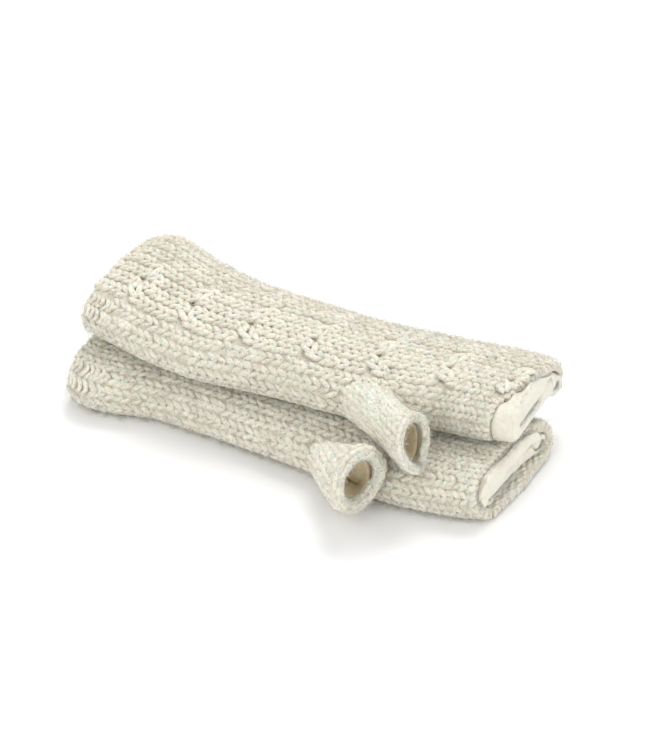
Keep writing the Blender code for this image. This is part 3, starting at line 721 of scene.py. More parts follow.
def inner_bumps(mitt, profile, steps, ring):
    """The reverse side of the knitting where it shows past the lining at the hand end: rows of bumps on the
    inside of the bottom layer."""
    random = np.random.default_rng(mitt.seed + 51)
    count = round(profile[3] * 2 * INNER_REACH / (COLUMN_WIDTH / 2))
    places = INNER_REACH * (2 * (np.arange(count) + 0.5) / count - 1)
    rows = mitt.sections[-1].along - KNIT_LIP - 1.2 - ROW_PITCH * 0.7 * np.arange(INNER_ROWS)
    row, middle = [grid.ravel() for grid in np.meshgrid(rows, places, indexing="ij")]
    t = np.linspace(-1, 1, steps)
    jitter = random.normal(0, 1, (3, len(row)))
    bow = np.where(np.round((middle + INNER_REACH) / (2 * INNER_REACH) * count - 0.5) % 2 == 0, 1.0, -1.0)
    along = row[:, None] + INNER_BOW * bow[:, None] * (1 - t**2) + 0.25 * jitter[0][:, None]
    place = middle[:, None] + INNER_REACH / count * 1.15 * t + 0.0004 * jitter[1][:, None]
    radius = INNER_YARN * (0.6 + 0.4 * np.sqrt(1 - 0.95 * t**2)) * (1 + 0.08 * jitter[2][:, None])
    dip = 0.6 * t**4 + np.zeros_like(place)
    centre, normal = on_body(mitt, profile, along, place, -KNIT_WALL + 0.5 + dip)
    return tubes(centre, -normal, radius, radius, ring, jitter[2], dip + 0.6)


def thumb_legs(mitt, profile, steps, ring):
    """The thumb tube's V stitches, in columns along it up to its rolled rim."""
    random = np.random.default_rng(mitt.seed + 13)
    length = thumb_length(mitt, profile)
    plain = length - mitt.thumb.roll
    count = round(plain / ROW_PITCH)
    width = 2 * math.pi / THUMB_COLUMNS
    t, sideways, dip, plump = leg_shape(steps)
    columns = (np.arange(THUMB_COLUMNS) + 0.5) * width
    side, middle, row = [
        grid.ravel() for grid in np.meshgrid([-1.0, 1.0], columns, np.arange(count) / count, indexing="ij")
    ]
    jitter = random.normal(0, 1, (5, len(row)))
    reach = LEG_LENGTH * (1 + 0.05 * jitter[0][:, None]) * t
    share = (row[:, None] + (reach - 0.2 + 0.04 * jitter[1][:, None]) / count) * plain / length
    share = np.clip(share, 0.0, 1.0)
    turn = middle[:, None] + side[:, None] * sideways * width * (1 + 0.06 * jitter[2][:, None])
    fat = 1 + 0.06 * jitter[3][:, None]
    across_radius = YARN_ACROSS * plump * fat
    height_radius = 0.8 * YARN_HEIGHT * plump * fat
    height = 0.2 - height_radius.max(axis=1, keepdims=True) - 0.45 * dip
    centre, normal = on_thumb(mitt, profile, share, turn, height)
    return tubes(centre, normal, across_radius, height_radius, ring, jitter[0], dip + np.zeros_like(turn))


def on_roll(mitt, profile, turn, bend, height):
    """Points of the thumb's rolled rim: middle of the roll + (normal * cos + way it faces * sin of the bend)
    * (roll's radius + height). The bend is 0 on the outside and pi on the inside."""
    roll = mitt.thumb.roll
    turn, bend, height = np.broadcast_arrays(turn, bend, height)
    share = 1 - roll / thumb_length(mitt, profile)
    middle, normal = on_thumb(mitt, profile, share, turn, -roll * np.ones(turn.shape))
    facing = thumb_rim(mitt.thumb, np.zeros(1), np.zeros(1))[1]
    way = unit(normal * np.cos(bend)[..., None] + facing * np.sin(bend)[..., None])
    points = middle + way * (roll + height)[..., None]
    points[..., 2] = np.maximum(points[..., 2], 0.0)
    return points, way


def roll_bumps(mitt, profile, steps, ring):
    """The purl side of the thumb's rolled rim: rings of short bumps that follow it."""
    random = np.random.default_rng(mitt.seed + 17)
    thumb = mitt.thumb
    rings = round(math.pi * thumb.roll / ROLL_RING_PITCH)
    count = round(math.pi * (thumb.half_wide + thumb.half_tall - thumb.roll) / ROLL_BUMP_PITCH)
    number, spot = [grid.ravel() for grid in np.meshgrid(np.arange(rings), np.arange(count), indexing="ij")]
    jitter = random.normal(0, 1, (4, len(number)))
    t = np.linspace(-1, 1, steps)
    bend = (0.1 + 0.95 * (number + 0.5) / rings + 0.02 * jitter[0])[:, None] * math.pi + 0.16 * (1 - t**2)
    spot = (spot + 0.5 * (number % 2))[:, None]
    turn = (spot + 0.56 * t) / count * 2 * math.pi + 0.02 * jitter[1][:, None]
    radius = ROLL_YARN * (0.7 + 0.3 * np.sqrt(1 - 0.95 * t**2)) * (1 + 0.07 * jitter[2][:, None])
    dip = 0.55 * t**4 + np.zeros_like(bend)
    centre, way = on_roll(mitt, profile, turn, bend, -ROLL_YARN_DEPTH - dip)
    return tubes(centre, way, radius * 1.1, radius, ring, jitter[3], dip)


def add_yarn(name, groups, material, floor):
    """One joined mesh from groups of tubes with equally many rings and points, pressed flat on the floor."""
    yarn = Yarn(*[np.concatenate(parts) for parts in zip(*groups)])
    points = yarn.points.copy()
    points[..., 2] = np.maximum(points[..., 2], floor)
    faces = tube_faces(*points.shape[:3])
    return add_mesh(name, points, faces, material, yarn=yarn)


def wall_faces(rows, columns, hole=None):
    """Quads of an outer and an inner grid closed round, joined at both ends, and round the hole if any."""
    outer = np.arange(rows * columns).reshape(rows, columns)
    inner = outer + rows * columns
    beside = np.roll(outer, -1, axis=1)
    quads = np.stack([outer[:-1], beside[:-1], beside[1:], outer[1:]], axis=-1)
    keep = np.ones(quads.shape[:2], bool)
    edge = np.zeros((0, 4), int)
    if hole:
        keep[hole[0] : hole[1], hole[2] : hole[3]] = False
        loop = np.concatenate(
            [
                outer[hole[0], hole[2] : hole[3]],
                outer[hole[0] : hole[1], hole[3]],
                outer[hole[1], hole[3] : hole[2] : -1],
                outer[hole[1] : hole[0] : -1, hole[2]],
            ]
        )
        after = np.roll(loop, -1)
        edge = np.stack([loop, after, after + rows * columns, loop + rows * columns], axis=-1)
    outside = quads[keep]
    inside = outside[:, ::-1] + rows * columns
    low = np.stack([inner[0], np.roll(inner[0], -1), np.roll(outer[0], -1), outer[0]], axis=-1)
    high = np.stack([outer[-1], np.roll(outer[-1], -1), np.roll(inner[-1], -1), inner[-1]], axis=-1)
    return [np.concatenate([outside, inside, low, high, edge])]


def turned_out(piece):
    """Turns a closed piece's faces outwards if its volume comes out negative."""
    mesh = piece.data
    mesh.calc_loop_triangles()
    points = np.empty(len(mesh.vertices) * 3)
    mesh.vertices.foreach_get("co", points)
    corners = np.empty(len(mesh.loop_triangles) * 3, np.int32)
    mesh.loop_triangles.foreach_get("vertices", corners)
    a, b, c = points.reshape(-1, 3)[corners].reshape(-1, 3, 3).transpose(1, 0, 2)
    if (a * np.cross(b, c)).sum() < 0:
        mesh.flip_normals()
    return piece


def lip_rows(end, inwards, lip):
    """Places of the rows round a lip, end + inwards * lip * (1 - sin(angle)), with how far each is drawn
    together, the lip's closing * (1 - cos(angle))."""
    angle = np.radians((20.0, 42.0, 60.0, 75.0, 88.0))
    return end + inwards * lip * (1 - np.sin(angle)), LIP_CLOSING * (1 - np.cos(angle))


def body_grid(mitt, lip, grid):
    """Places along and round the tube of a grid whose cells at the thumb opening are pulled to its oval, and
    how far each row is drawn together at the lips."""
    thumb = mitt.thumb
    first = mitt.sections[0].along
    last = mitt.sections[-1].along
    start = thumb.along - thumb.half_length
    end = thumb.along + thumb.half_length
    before = round(grid.rows * (start - first) / (last - first))
    wrist, wrist_closing = lip_rows(first, 1, lip)
    hand, hand_closing = lip_rows(last, -1, lip)
    along = np.concatenate(
        [
            wrist[::-1],
            np.linspace(first + lip, start, before, endpoint=False),
            np.linspace(start, end, grid.hole_rows, endpoint=False),
            np.linspace(end, last - lip, grid.rows - before - grid.hole_rows),
            hand,
        ]
    )
    closing = np.concatenate([wrist_closing[::-1], np.zeros(grid.rows), hand_closing])
    low = thumb.place - thumb.half_place
    high = thumb.place + thumb.half_place
    place = np.concatenate(
        [
            np.linspace(low, high, grid.hole_columns, endpoint=False),
            np.linspace(high, 1 + low, grid.columns - grid.hole_columns, endpoint=False),
        ]
    )
    along, place = np.meshgrid(along, place, indexing="ij")
    u = (along - thumb.along) / thumb.half_length
    v = ((place - thumb.place + 0.5) % 1.0 - 0.5) / thumb.half_place
    square = np.maximum(np.abs(u), np.abs(v))
    oval = (np.abs(u) ** HOLE_POWER + np.abs(v) ** HOLE_POWER) ** (1 / HOLE_POWER)
    factor = 1 + (square / np.maximum(oval, 1e-9) - 1) * smooth_step(2 - square)
    near_hole = square < 2
    along = np.where(near_hole, thumb.along + u * factor * thumb.half_length, along)
    place = np.where(near_hole, thumb.place + v * factor * thumb.half_place, place)
    before += len(wrist)
    return along, place, closing[:, None, None], (before, before + grid.hole_rows, 0, grid.hole_columns)


def drawn_together(outer, inner, closing):
    """Both faces of a wall moved towards its middle where its lips close."""
    half = (inner - outer) / 2 * closing
    return np.concatenate([(outer + half).reshape(-1, 3), (inner - half).reshape(-1, 3)])


def cable_groove(mitt, profile, along, place):
    """How deep the wall is drawn in where the cable's ropes come out: exp(-(distance / length)^2)."""
    if mitt.cable_place is None:
        return np.zeros_like(along)
    past = (along - CABLE_FIRST + CABLE_REPEAT / 2) % CABLE_REPEAT - CABLE_REPEAT / 2
    around = np.abs((place - mitt.cable_place + 0.5) % 1.0 - 0.5) * profile[3]
    across = smooth_step((STRAND_OUTER - around) / STRAND_INNER)
    return CABLE_GROOVE * np.exp(-(((past - GROOVE_LENGTH / 2) / GROOVE_LENGTH) ** 2)) * across


def add_backing(mitt, profile, material):
    """The body's knitted wall behind its stitches, with both ends rounded."""
    along, place, closing, hole = body_grid(mitt, KNIT_LIP, BACKING_GRID)
    groove = cable_groove(mitt, profile, along, place)
    along = drawn_back(mitt, "knit", along, place)
    outer = surface(mitt, profile, along, place, BACKING_DEPTH + groove)
    inner = surface(mitt, profile, along, place, KNIT_WALL)
    piece = add_mesh(
        f"{mitt.name}_knitted_wall",
        drawn_together(outer, inner, closing),
        wall_faces(along.shape[0], along.shape[1], hole),
        material,
    )
    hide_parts(f"{mitt.name}_knit_body")
    return turned_out(piece)


def add_lining(mitt, profile, material):
    """The fleece tube: a wall with a soft uneven face. Its top layer is puffed out at the hand end, where it
    fills the mouth all but the far corner."""
    along, place, closing, hole = body_grid(mitt, LINING_LIP, LINING_GRID)
    end = mitt.sections[-1].along
    hem = smooth_step(1 - (end - along) / HEM_DEPTH)
    along = drawn_back(mitt, "lining", along, place)
    bare = along - end + trim_amount(mitt, "knit_hand", place) - HEM_SPREAD_AFTER
    soft = 0.4 * wobble(along, place * profile[3], mitt.seed + 21, 9.0) * hem
    depth = KNIT_WALL + LINING_GAP - HEM_SPREAD * smooth_step(bare * HEM_SPREAD_SLOPE / HEM_SPREAD) - soft
    outer = surface(mitt, profile, along, place, depth)
    inner = surface(mitt, profile, along, place, KNIT_WALL + LINING_GAP + LINING_WALL)
    across = np.interp(place % 1.0, profile[0], profile[1])
    under = np.interp(across, *bottom_half(profile))
    bottom = surface(mitt, profile, along, under, KNIT_WALL + LINING_GAP + LINING_WALL)
    closed = HEM_CLOSING * hem * smooth_step((0.92 - across) / 0.14)
    inner[..., 2] += (bottom[..., 2] - inner[..., 2]) * closed
    piece = add_mesh(
        f"{mitt.name}_fleece_lining",
        drawn_together(outer, inner, HEM_BLUNTNESS * closing),
        wall_faces(along.shape[0], along.shape[1], hole),
        material,
    )
    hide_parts(f"{mitt.name}_lining_body")
    return turned_out(piece)


def bottom_half(profile):
    """The lower half of the outline as places by their distance across it, from the near to the far side."""
    shares, across, height, _ = profile
    low = height <= BOTTOM_CORNER_HEIGHT
    centred = (shares + 0.5) % 1.0 - 0.5
    order = np.argsort(across[low])
    return across[low][order], centred[low][order] % 1.0


def add_thumb_walls(mitt, profile, wool, fleece):
    """The thumb's knitted wall behind its stitches, with its rolled rim, and its fleece lining, whose inside
    folds together down the tube. Each is a closed section carried round the tube."""
    columns = 56
    turn = (np.arange(columns) / columns * 2 * math.pi)[None, :]
    roll = mitt.thumb.roll
    length = thumb_length(mitt, profile)
    rim = 1 - roll / length
    up = np.linspace(0, rim, 14)[:, None]
    outer = thumb_surface(mitt, profile, up, turn, THUMB_BACKING_DEPTH)
    bend = np.radians(np.linspace(15, 180, 10))[:, None]
    rolled = on_roll(mitt, profile, turn, bend, -THUMB_BACKING_DEPTH)[0]
    back = np.linspace(1, 0, 14)[:, None]
    throat = THUMB_WALL + (2 * roll - THUMB_BACKING_DEPTH - THUMB_WALL) * smooth_step((back - 0.9) / 0.1)
    inner = thumb_surface(mitt, profile, back * rim, turn, throat)
    section = np.concatenate([outer, rolled, inner])
    knit = add_mesh(f"{mitt.name}_thumb_wall", section, ring_faces(*section.shape[:2]), wool)
    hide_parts(f"{mitt.name}_knit_thumb")
    inside = KNIT_WALL + LINING_GAP - SEAM_GAP
    thin = np.linspace(0, 1, 16)[:, None]
    stop = rim - 2.6 / length
    late = smooth_step((thin - 0.5) / 0.5)
    deep = THUMB_WALL + THUMB_GAP
    root = thumb_root(mitt, profile, turn[0], -THUMB_GAP, inside)[0]
    outer = np.concatenate([root[None], thumb_surface(mitt, profile, thin * stop, turn, deep)])
    end_depth = max(2 * roll + 0.5, deep + 1.2)
    depth = (deep + THUMB_LINING_WALL) * (1 - late) + end_depth * late
    root = thumb_root(mitt, profile, turn[0], -THUMB_GAP - THUMB_LINING_WALL, inside)[0]
    inner = thumb_surface(mitt, profile, thin * stop, turn, depth)
    middle = inner.mean(axis=1, keepdims=True)
    fold = np.array(mitt.thumb.fold)
    squash = FOLD_CLOSING * smooth_step((0.95 - thin) / 0.5)[..., None]
    inner = inner - fold * ((inner - middle) @ fold)[..., None] * squash
    inner = np.concatenate([root[None], inner])
    section = np.concatenate([outer, inner[::-1]])
    lining = add_mesh(f"{mitt.name}_thumb_lining", section, ring_faces(*section.shape[:2]), fleece)
    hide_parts(f"{mitt.name}_lining_thumb")
    return turned_out(knit), turned_out(lining)


def ring_faces(rows, columns):
    """Quads of a grid that closes on itself both ways."""
    here = np.arange(rows * columns).reshape(rows, columns)
    beside = np.roll(here, -1, axis=1)
    quads = np.stack([here, beside, np.roll(beside, -1, axis=0), np.roll(here, -1, axis=0)], axis=-1)
    return [quads.reshape(-1, 4)]


def fibres(base, normal, seed, fibre):
    """Loose fibres: base + length * (t * way + t^2 * curl), as thin three-sided tubes that taper. The curl
    bends them sideways and a little back down."""
    random = np.random.default_rng(seed)
    count = len(base)
    forward = np.array([1.0, 0.15, 0.1])
    lengthwise = unit(forward - (normal @ forward)[:, None] * normal)
    across = np.cross(normal, lengthwise)
    heading = random.uniform(0, 2 * math.pi, count)
    flat = lengthwise * np.cos(heading)[:, None] + across * np.sin(heading)[:, None]
    rise = np.abs(random.normal(fibre.stand, fibre.stand * 0.8, count))[:, None]
    way = unit(flat + normal * rise)
    bend = random.normal(0, 0.45, (count, 1))
    curl = np.cross(normal, flat) * bend - normal * rise * random.uniform(0.0, 0.5, (count, 1))
    length = fibre.reach * random.uniform(0.5, 1.3, (count, 1, 1))
    t = np.linspace(0, 1, 3)[None, :, None]
    centre = base[:, None] + length * (t * way[:, None] + t**2 * curl[:, None])
    radius = np.broadcast_to(fibre.thick * (1 - 0.5 * t[..., 0]), centre.shape[:2])
    upright = np.broadcast_to(normal[:, None], centre.shape)
    tone = random.normal(0, 1, count)
    return tubes(centre, upright, radius, radius, THIN_RING, tone, np.zeros(radius.shape))


def add_fuzz(mitt, profile, material, floor):
    """A haze of loose wool fibres over the body's and the thumb's stitches and the thumb's rolled rim."""
    random = np.random.default_rng(mitt.seed + 31)
    first = mitt.sections[0].along
    last = mitt.sections[-1].along
    along = random.uniform(first + 1, last - 1, BODY_FIBRES)
    place = random.uniform(0.18, 0.82, BODY_FIBRES)
    keep = ~in_hole(mitt, profile, along, place, THUMB_WALL)
    along, place = along[keep], place[keep]
    base, normal = on_body(mitt, profile, along, place, np.full(along.shape, 0.7))
    body = fibres(base, normal, mitt.seed + 32, BODY_FIBRE)
    turn = random.uniform(0, 2 * math.pi, THUMB_FIBRES)
    share = random.uniform(0.02, 0.9, THUMB_FIBRES)
    base, normal = on_thumb(mitt, profile, share, turn, np.zeros(THUMB_FIBRES))
    thumb = fibres(base, normal, mitt.seed + 33, THUMB_FIBRE)
    bend = random.uniform(0, math.pi, RIM_FIBRES)
    base, way = on_roll(mitt, profile, turn[:RIM_FIBRES], bend, np.zeros(RIM_FIBRES))
    rim = fibres(base, way, mitt.seed + 34, RIM_FIBRE)
    return add_yarn(f"{mitt.name}_fuzz", [body, thumb, rim], material, floor)


def add_nap(mitt, profile, material, floor):
    """Short pile on the fleece where it shows at the hand end: along its last stretch, over its lip, and in
    the fold where its top and bottom layers meet."""
    random = np.random.default_rng(mitt.seed + 41)
    place = random.uniform(0.1, 0.62, NAP_FIBRES)
    end = mitt.sections[-1].along
    bare = trim_amount(mitt, "knit_hand", place)
    gone = trim_amount(mitt, "lining_hand", place)
    share = random.uniform(0, 1, NAP_FIBRES)
    along = end - gone - 1.5 - share * np.maximum(bare - gone - 1.5, 0.5)
    depth = KNIT_WALL + LINING_GAP - HEM_SPREAD + 0.4 + np.zeros(NAP_FIBRES)
    base = surface(mitt, profile, along, place, depth)
    normal = on_body(mitt, profile, along, place, np.zeros(NAP_FIBRES))[1]
    lip = smooth_step((0.35 - share) / 0.35)[:, None]
    normal = unit(normal * (1 - 0.6 * lip) + np.array([1.0, 0.0, 0.0]) * lip)
    pile = fibres(base, normal, mitt.seed + 42, PILE_FIBRE)
    fold = random.uniform(0.19, 0.81, MOUTH_FIBRES)
    across = np.interp(fold, profile[0], profile[1])
    under = np.interp(across, *bottom_half(profile))
    gone = trim_amount(mitt, "lining_hand", fold)
    along = end - gone - random.uniform(0.2, 3.0, MOUTH_FIBRES)
    base = surface(mitt, profile, along, under, KNIT_WALL + LINING_GAP + LINING_WALL)
    base[:, 2] += random.uniform(-0.6, 1.2, MOUTH_FIBRES)
    outwards = unit(np.array([1.0, 0.0, 0.7]) + np.zeros((MOUTH_FIBRES, 3)))
    fluff = fibres(base, outwards, mitt.seed + 43, MOUTH_FIBRE)
    return add_yarn(f"{mitt.name}_fleece_nap", [pile, fluff], material, floor)


def group_socket(tree, name, kind, way, default=None):
    """Adds a named input or output to a node group."""
    socket = tree.interface.new_socket(name=name, in_out=way, socket_type=kind)
    if default is not None:
        socket.default_value = default


def math_node(nodes, links, operation, first, second):
    """A Math node fed by sockets or plain numbers."""
    node = nodes.new("ShaderNodeMath")
    node.operation = operation
    for socket, value in zip(node.inputs, (first, second)):
        if isinstance(value, (int, float)):
            socket.default_value = value
        else:
            links.new(value, socket)
    return node.outputs[0]


def noise_node(nodes, links, vector, scale, detail, roughness=0.55):
    """A noise texture's value."""
    node = nodes.new("ShaderNodeTexNoise")
    node.inputs["Scale"].default_value = scale
    node.inputs["Detail"].default_value = detail
    node.inputs["Roughness"].default_value = roughness
    links.new(vector, node.inputs["Vector"])
    return node.outputs["Fac"]


def ramp_between(nodes, links, value, low, high):
    """The value spread so that low becomes 0 and high becomes 1."""
    node = nodes.new("ShaderNodeMapRange")
    node.inputs["From Min"].default_value = low
    node.inputs["From Max"].default_value = high
    links.new(value, node.inputs["Value"])
    return node.outputs["Result"]


def mix_colour(nodes, links, factor, first, second):
    """Two colours mixed by a factor; each is a socket or a plain colour."""
    node = nodes.new("ShaderNodeMix")
    node.data_type = "RGBA"
    links.new(factor, node.inputs["Factor"])
    for socket, value in ((node.inputs[6], first), (node.inputs[7], second)):
        if isinstance(value, tuple):
            socket.default_value = value
        else:
            links.new(value, socket)
    return node.outputs[2]


# Colours of the wool and the fleece
PALE_WOOL = (0.835, 0.80, 0.70, 1)
WARM_WOOL = (0.79, 0.735, 0.60, 1)
GREENISH_WOOL = (0.73, 0.745, 0.63, 1)
SHADED_WOOL = (0.58, 0.52, 0.40, 1)
# Painted shade for yarn lying deep between stitches and on its underside
PAINTED_SHADE_WOOL = (0.48, 0.41, 0.25, 1)
DARK_FLECK = (0.28, 0.24, 0.17, 1)
YARN_COLOUR = (0.82, 0.785, 0.67, 1)
# The wool's colour darkened and warmed with painted shade, for the knitted wall seen in the grooves between
# stitches
BACKING_SHADED_COLOUR = (0.70, 0.645, 0.50, 1)
FUZZ_COLOUR = (0.76, 0.73, 0.64, 1)
CREAM_PILE = (0.86, 0.83, 0.72, 1)
# Painted shade between the fleece's clumps
CREAM_SHADE_BETWEEN = (0.78, 0.73, 0.60, 1)
# The cream fleece darkened to tan with painted shade, for the shadowed insides of the thumbs
SHADED_TAN_PILE = (0.66, 0.565, 0.38, 1)
SHADED_TAN_BETWEEN = (0.50, 0.41, 0.25, 1)
# The cream fleece lightened with painted light, for the pile at the lit mouths; the second colour also holds
# painted shade between clumps
LIT_PILE = (0.93, 0.90, 0.80, 1)
LIT_PILE_SHADE_BETWEEN = (0.88, 0.84, 0.73, 1)


def marl_group():
    """Marled wool: cream mixed with warm, grey and greenish fibres, with dark flecks, painted shade where the
    yarn lies deep between stitches and on its underside, and the fibres' height."""
    tree = bpy.data.node_groups.new("Marled wool", "ShaderNodeTree")
    group_socket(tree, "Place", "NodeSocketVector", "INPUT")
    group_socket(tree, "Yarn", "NodeSocketVector", "INPUT")
    group_socket(tree, "Tone", "NodeSocketFloat", "INPUT", 0.0)
    group_socket(tree, "Sunk", "NodeSocketFloat", "INPUT", 0.0)
    group_socket(tree, "Light", "NodeSocketColor", "INPUT", YARN_COLOUR)
    group_socket(tree, "Fleck", "NodeSocketColor", "INPUT", DARK_FLECK)
    group_socket(tree, "Colour", "NodeSocketColor", "OUTPUT")
    group_socket(tree, "Height", "NodeSocketFloat", "OUTPUT")
    nodes, links = tree.nodes, tree.links
    given = nodes.new("NodeGroupInput")
    out = nodes.new("NodeGroupOutput")
    place = given.outputs["Place"]
    yarn = given.outputs["Yarn"]
    broad = ramp_between(nodes, links, noise_node(nodes, links, place, scale=75.0, detail=2.0), 0.35, 0.65)
    middle = ramp_between(nodes, links, noise_node(nodes, links, place, scale=260.0, detail=2.0), 0.35, 0.68)
    green = ramp_between(nodes, links, noise_node(nodes, links, place, scale=170.0, detail=1.0), 0.56, 0.72)
    colour = mix_colour(nodes, links, broad, given.outputs["Light"], PALE_WOOL)
    warm = math_node(nodes, links, "MULTIPLY", middle, 0.09)
    colour = mix_colour(nodes, links, warm, colour, WARM_WOOL)
    tint = math_node(nodes, links, "MULTIPLY", green, 0.03)
    colour = mix_colour(nodes, links, tint, colour, GREENISH_WOOL)
    # Fibres lie along the yarn: fine light and dark streaks
    streaked = nodes.new("ShaderNodeMapping")
    streaked.inputs["Scale"].default_value = (0.22, 7.0, 1.0)
    links.new(yarn, streaked.inputs["Vector"])
    streaks = noise_node(nodes, links, streaked.outputs[0], scale=1.6, detail=3.0, roughness=0.65)
    shadowed = math_node(nodes, links, "MULTIPLY", ramp_between(nodes, links, streaks, 0.52, 0.34), 0.35)
    colour = mix_colour(nodes, links, shadowed, colour, SHADED_WOOL)
    # Dark fibres: short dashes along the yarn, and a few specks
    dashed = nodes.new("ShaderNodeMapping")
    dashed.inputs["Scale"].default_value = (0.55, 3.4, 1.0)
    links.new(yarn, dashed.inputs["Vector"])
    dashes = noise_node(nodes, links, dashed.outputs[0], scale=1.3, detail=2.0, roughness=0.6)
    dashes = ramp_between(nodes, links, dashes, 0.58, 0.68)
    specks = ramp_between(nodes, links, noise_node(nodes, links, place, scale=900.0, detail=1.0), 0.61, 0.70)
    dark = math_node(nodes, links, "MAXIMUM", math_node(nodes, links, "MULTIPLY", dashes, 0.6), specks)
    dark = math_node(nodes, links, "MULTIPLY", dark, 0.6)
    colour = mix_colour(nodes, links, dark, colour, given.outputs["Fleck"])
    # Painted shade: darker where the yarn lies deep between stitches, under other strands and on its
    # underside
    deep = ramp_between(nodes, links, given.outputs["Sunk"], 1.3, 3.8)
    deep = math_node(nodes, links, "MULTIPLY", deep, 0.6)
    colour = mix_colour(nodes, links, deep, colour, PAINTED_SHADE_WOOL)
    shade = math_node(nodes, links, "MULTIPLY", given.outputs["Tone"], 0.03)
    shade = math_node(nodes, links, "ADD", shade, 1.0)
    brightened = nodes.new("ShaderNodeVectorMath")
    brightened.operation = "SCALE"
    links.new(colour, brightened.inputs[0])
    links.new(shade, brightened.inputs["Scale"])
    links.new(brightened.outputs[0], out.inputs["Colour"])
    fine = noise_node(nodes, links, place, scale=2400.0, detail=2.0, roughness=0.7)
    tufts = noise_node(nodes, links, place, scale=650.0, detail=2.0, roughness=0.6)
    height = math_node(nodes, links, "ADD", math_node(nodes, links, "MULTIPLY", streaks, 1.6), fine)
    height = math_node(nodes, links, "ADD", height, math_node(nodes, links, "MULTIPLY", tufts, 1.3))
    links.new(height, out.inputs["Height"])
    return tree


def nap_group():
    """Fleece: a soft pile in small clumps, with painted shade between them."""
    tree = bpy.data.node_groups.new("Fleece nap", "ShaderNodeTree")
    group_socket(tree, "Place", "NodeSocketVector", "INPUT")
    group_socket(tree, "Pile", "NodeSocketColor", "INPUT", CREAM_PILE)
    group_socket(tree, "ShadeBetween", "NodeSocketColor", "INPUT", CREAM_SHADE_BETWEEN)
    group_socket(tree, "Colour", "NodeSocketColor", "OUTPUT")
    group_socket(tree, "Height", "NodeSocketFloat", "OUTPUT")
    nodes, links = tree.nodes, tree.links
    given = nodes.new("NodeGroupInput")
    out = nodes.new("NodeGroupOutput")
    clumps = noise_node(nodes, links, given.outputs["Place"], scale=420.0, detail=3.0, roughness=0.65)
    fine = noise_node(nodes, links, given.outputs["Place"], scale=2200.0, detail=2.0, roughness=0.6)
    # Painted shade in the hollows between the clumps
    between = ramp_between(nodes, links, clumps, 0.52, 0.38)
    between = math_node(nodes, links, "MULTIPLY", between, 0.6)
    colour = mix_colour(nodes, links, between, given.outputs["Pile"], given.outputs["ShadeBetween"])
    links.new(colour, out.inputs["Colour"])
    height = math_node(nodes, links, "ADD", math_node(nodes, links, "MULTIPLY", clumps, 1.6), fine)
    links.new(height, out.inputs["Height"])
    return tree


def new_material(name, roughness, sheen, bump_height):
    """A material with a bump node; returns it with its nodes, links, shader and bump."""
    material = bpy.data.materials.new(name)
    material.use_nodes = True
    nodes, links = material.node_tree.nodes, material.node_tree.links
    shader = nodes["Principled BSDF"]
    shader.inputs["Roughness"].default_value = roughness
    shader.inputs["Sheen Weight"].default_value = sheen
    shader.inputs["Sheen Roughness"].default_value = 0.55
    shader.inputs["Specular IOR Level"].default_value = 0.2
    shader.inputs["Subsurface Weight"].default_value = 0.25
    shader.inputs["Subsurface Scale"].default_value = 0.0015
    bump = nodes.new("ShaderNodeBump")
    bump.inputs["Strength"].default_value = 0.55
    bump.inputs["Distance"].default_value = bump_height
    links.new(bump.outputs["Normal"], shader.inputs["Normal"])
    return material, nodes, links, shader, bump


def wool_material(name, group, light, bump_height, follows_yarn):
    """Marled wool that follows the yarn's own coordinates, or lies by place where there are none."""
    material, nodes, links, shader, bump = new_material(name, 0.92, 0.25, bump_height)
    marl = nodes.new("ShaderNodeGroup")
    marl.node_tree = group
    marl.inputs["Light"].default_value = light
    place = nodes.new("ShaderNodeTexCoord")
    links.new(place.outputs["Object"], marl.inputs["Place"])
    if follows_yarn:
        yarn = nodes.new("ShaderNodeUVMap")
        yarn.uv_map = "yarn"
        links.new(yarn.outputs["UV"], marl.inputs["Yarn"])
        for attribute_name, socket in (("tone", "Tone"), ("sunk", "Sunk")):
            attribute = nodes.new("ShaderNodeAttribute")
            attribute.attribute_name = attribute_name
            links.new(attribute.outputs["Fac"], marl.inputs[socket])
    else:
        scaled = nodes.new("ShaderNodeMapping")
        scaled.inputs["Scale"].default_value = (1000.0, 1000.0, 1000.0)
        links.new(place.outputs["Object"], scaled.inputs["Vector"])
        links.new(scaled.outputs[0], marl.inputs["Yarn"])
    links.new(marl.outputs["Colour"], shader.inputs["Base Color"])
    links.new(marl.outputs["Height"], bump.inputs["Height"])
    return material


def fleece_material(name, group, pile, between):
    """Fleece of one colour, with painted shade between its clumps."""
    material, nodes, links, shader, bump = new_material(name, 1.0, 0.4, 0.0005)
    nap = nodes.new("ShaderNodeGroup")
    nap.node_tree = group
    nap.inputs["Pile"].default_value = pile
    nap.inputs["ShadeBetween"].default_value = between
    place = nodes.new("ShaderNodeTexCoord")
    links.new(place.outputs["Object"], nap.inputs["Place"])
    links.new(nap.outputs["Colour"], shader.inputs["Base Color"])
    links.new(nap.outputs["Height"], bump.inputs["Height"])
    return material


def declare_sheets(mitt, profile):
    """The thumb tube's length in metres, worked out from its outside; nothing is made from it. The nominal
    girth and length of each tube times the shares that are set by hand, not measures of its mesh.
    """
    long = thumb_length(mitt, profile) * MM


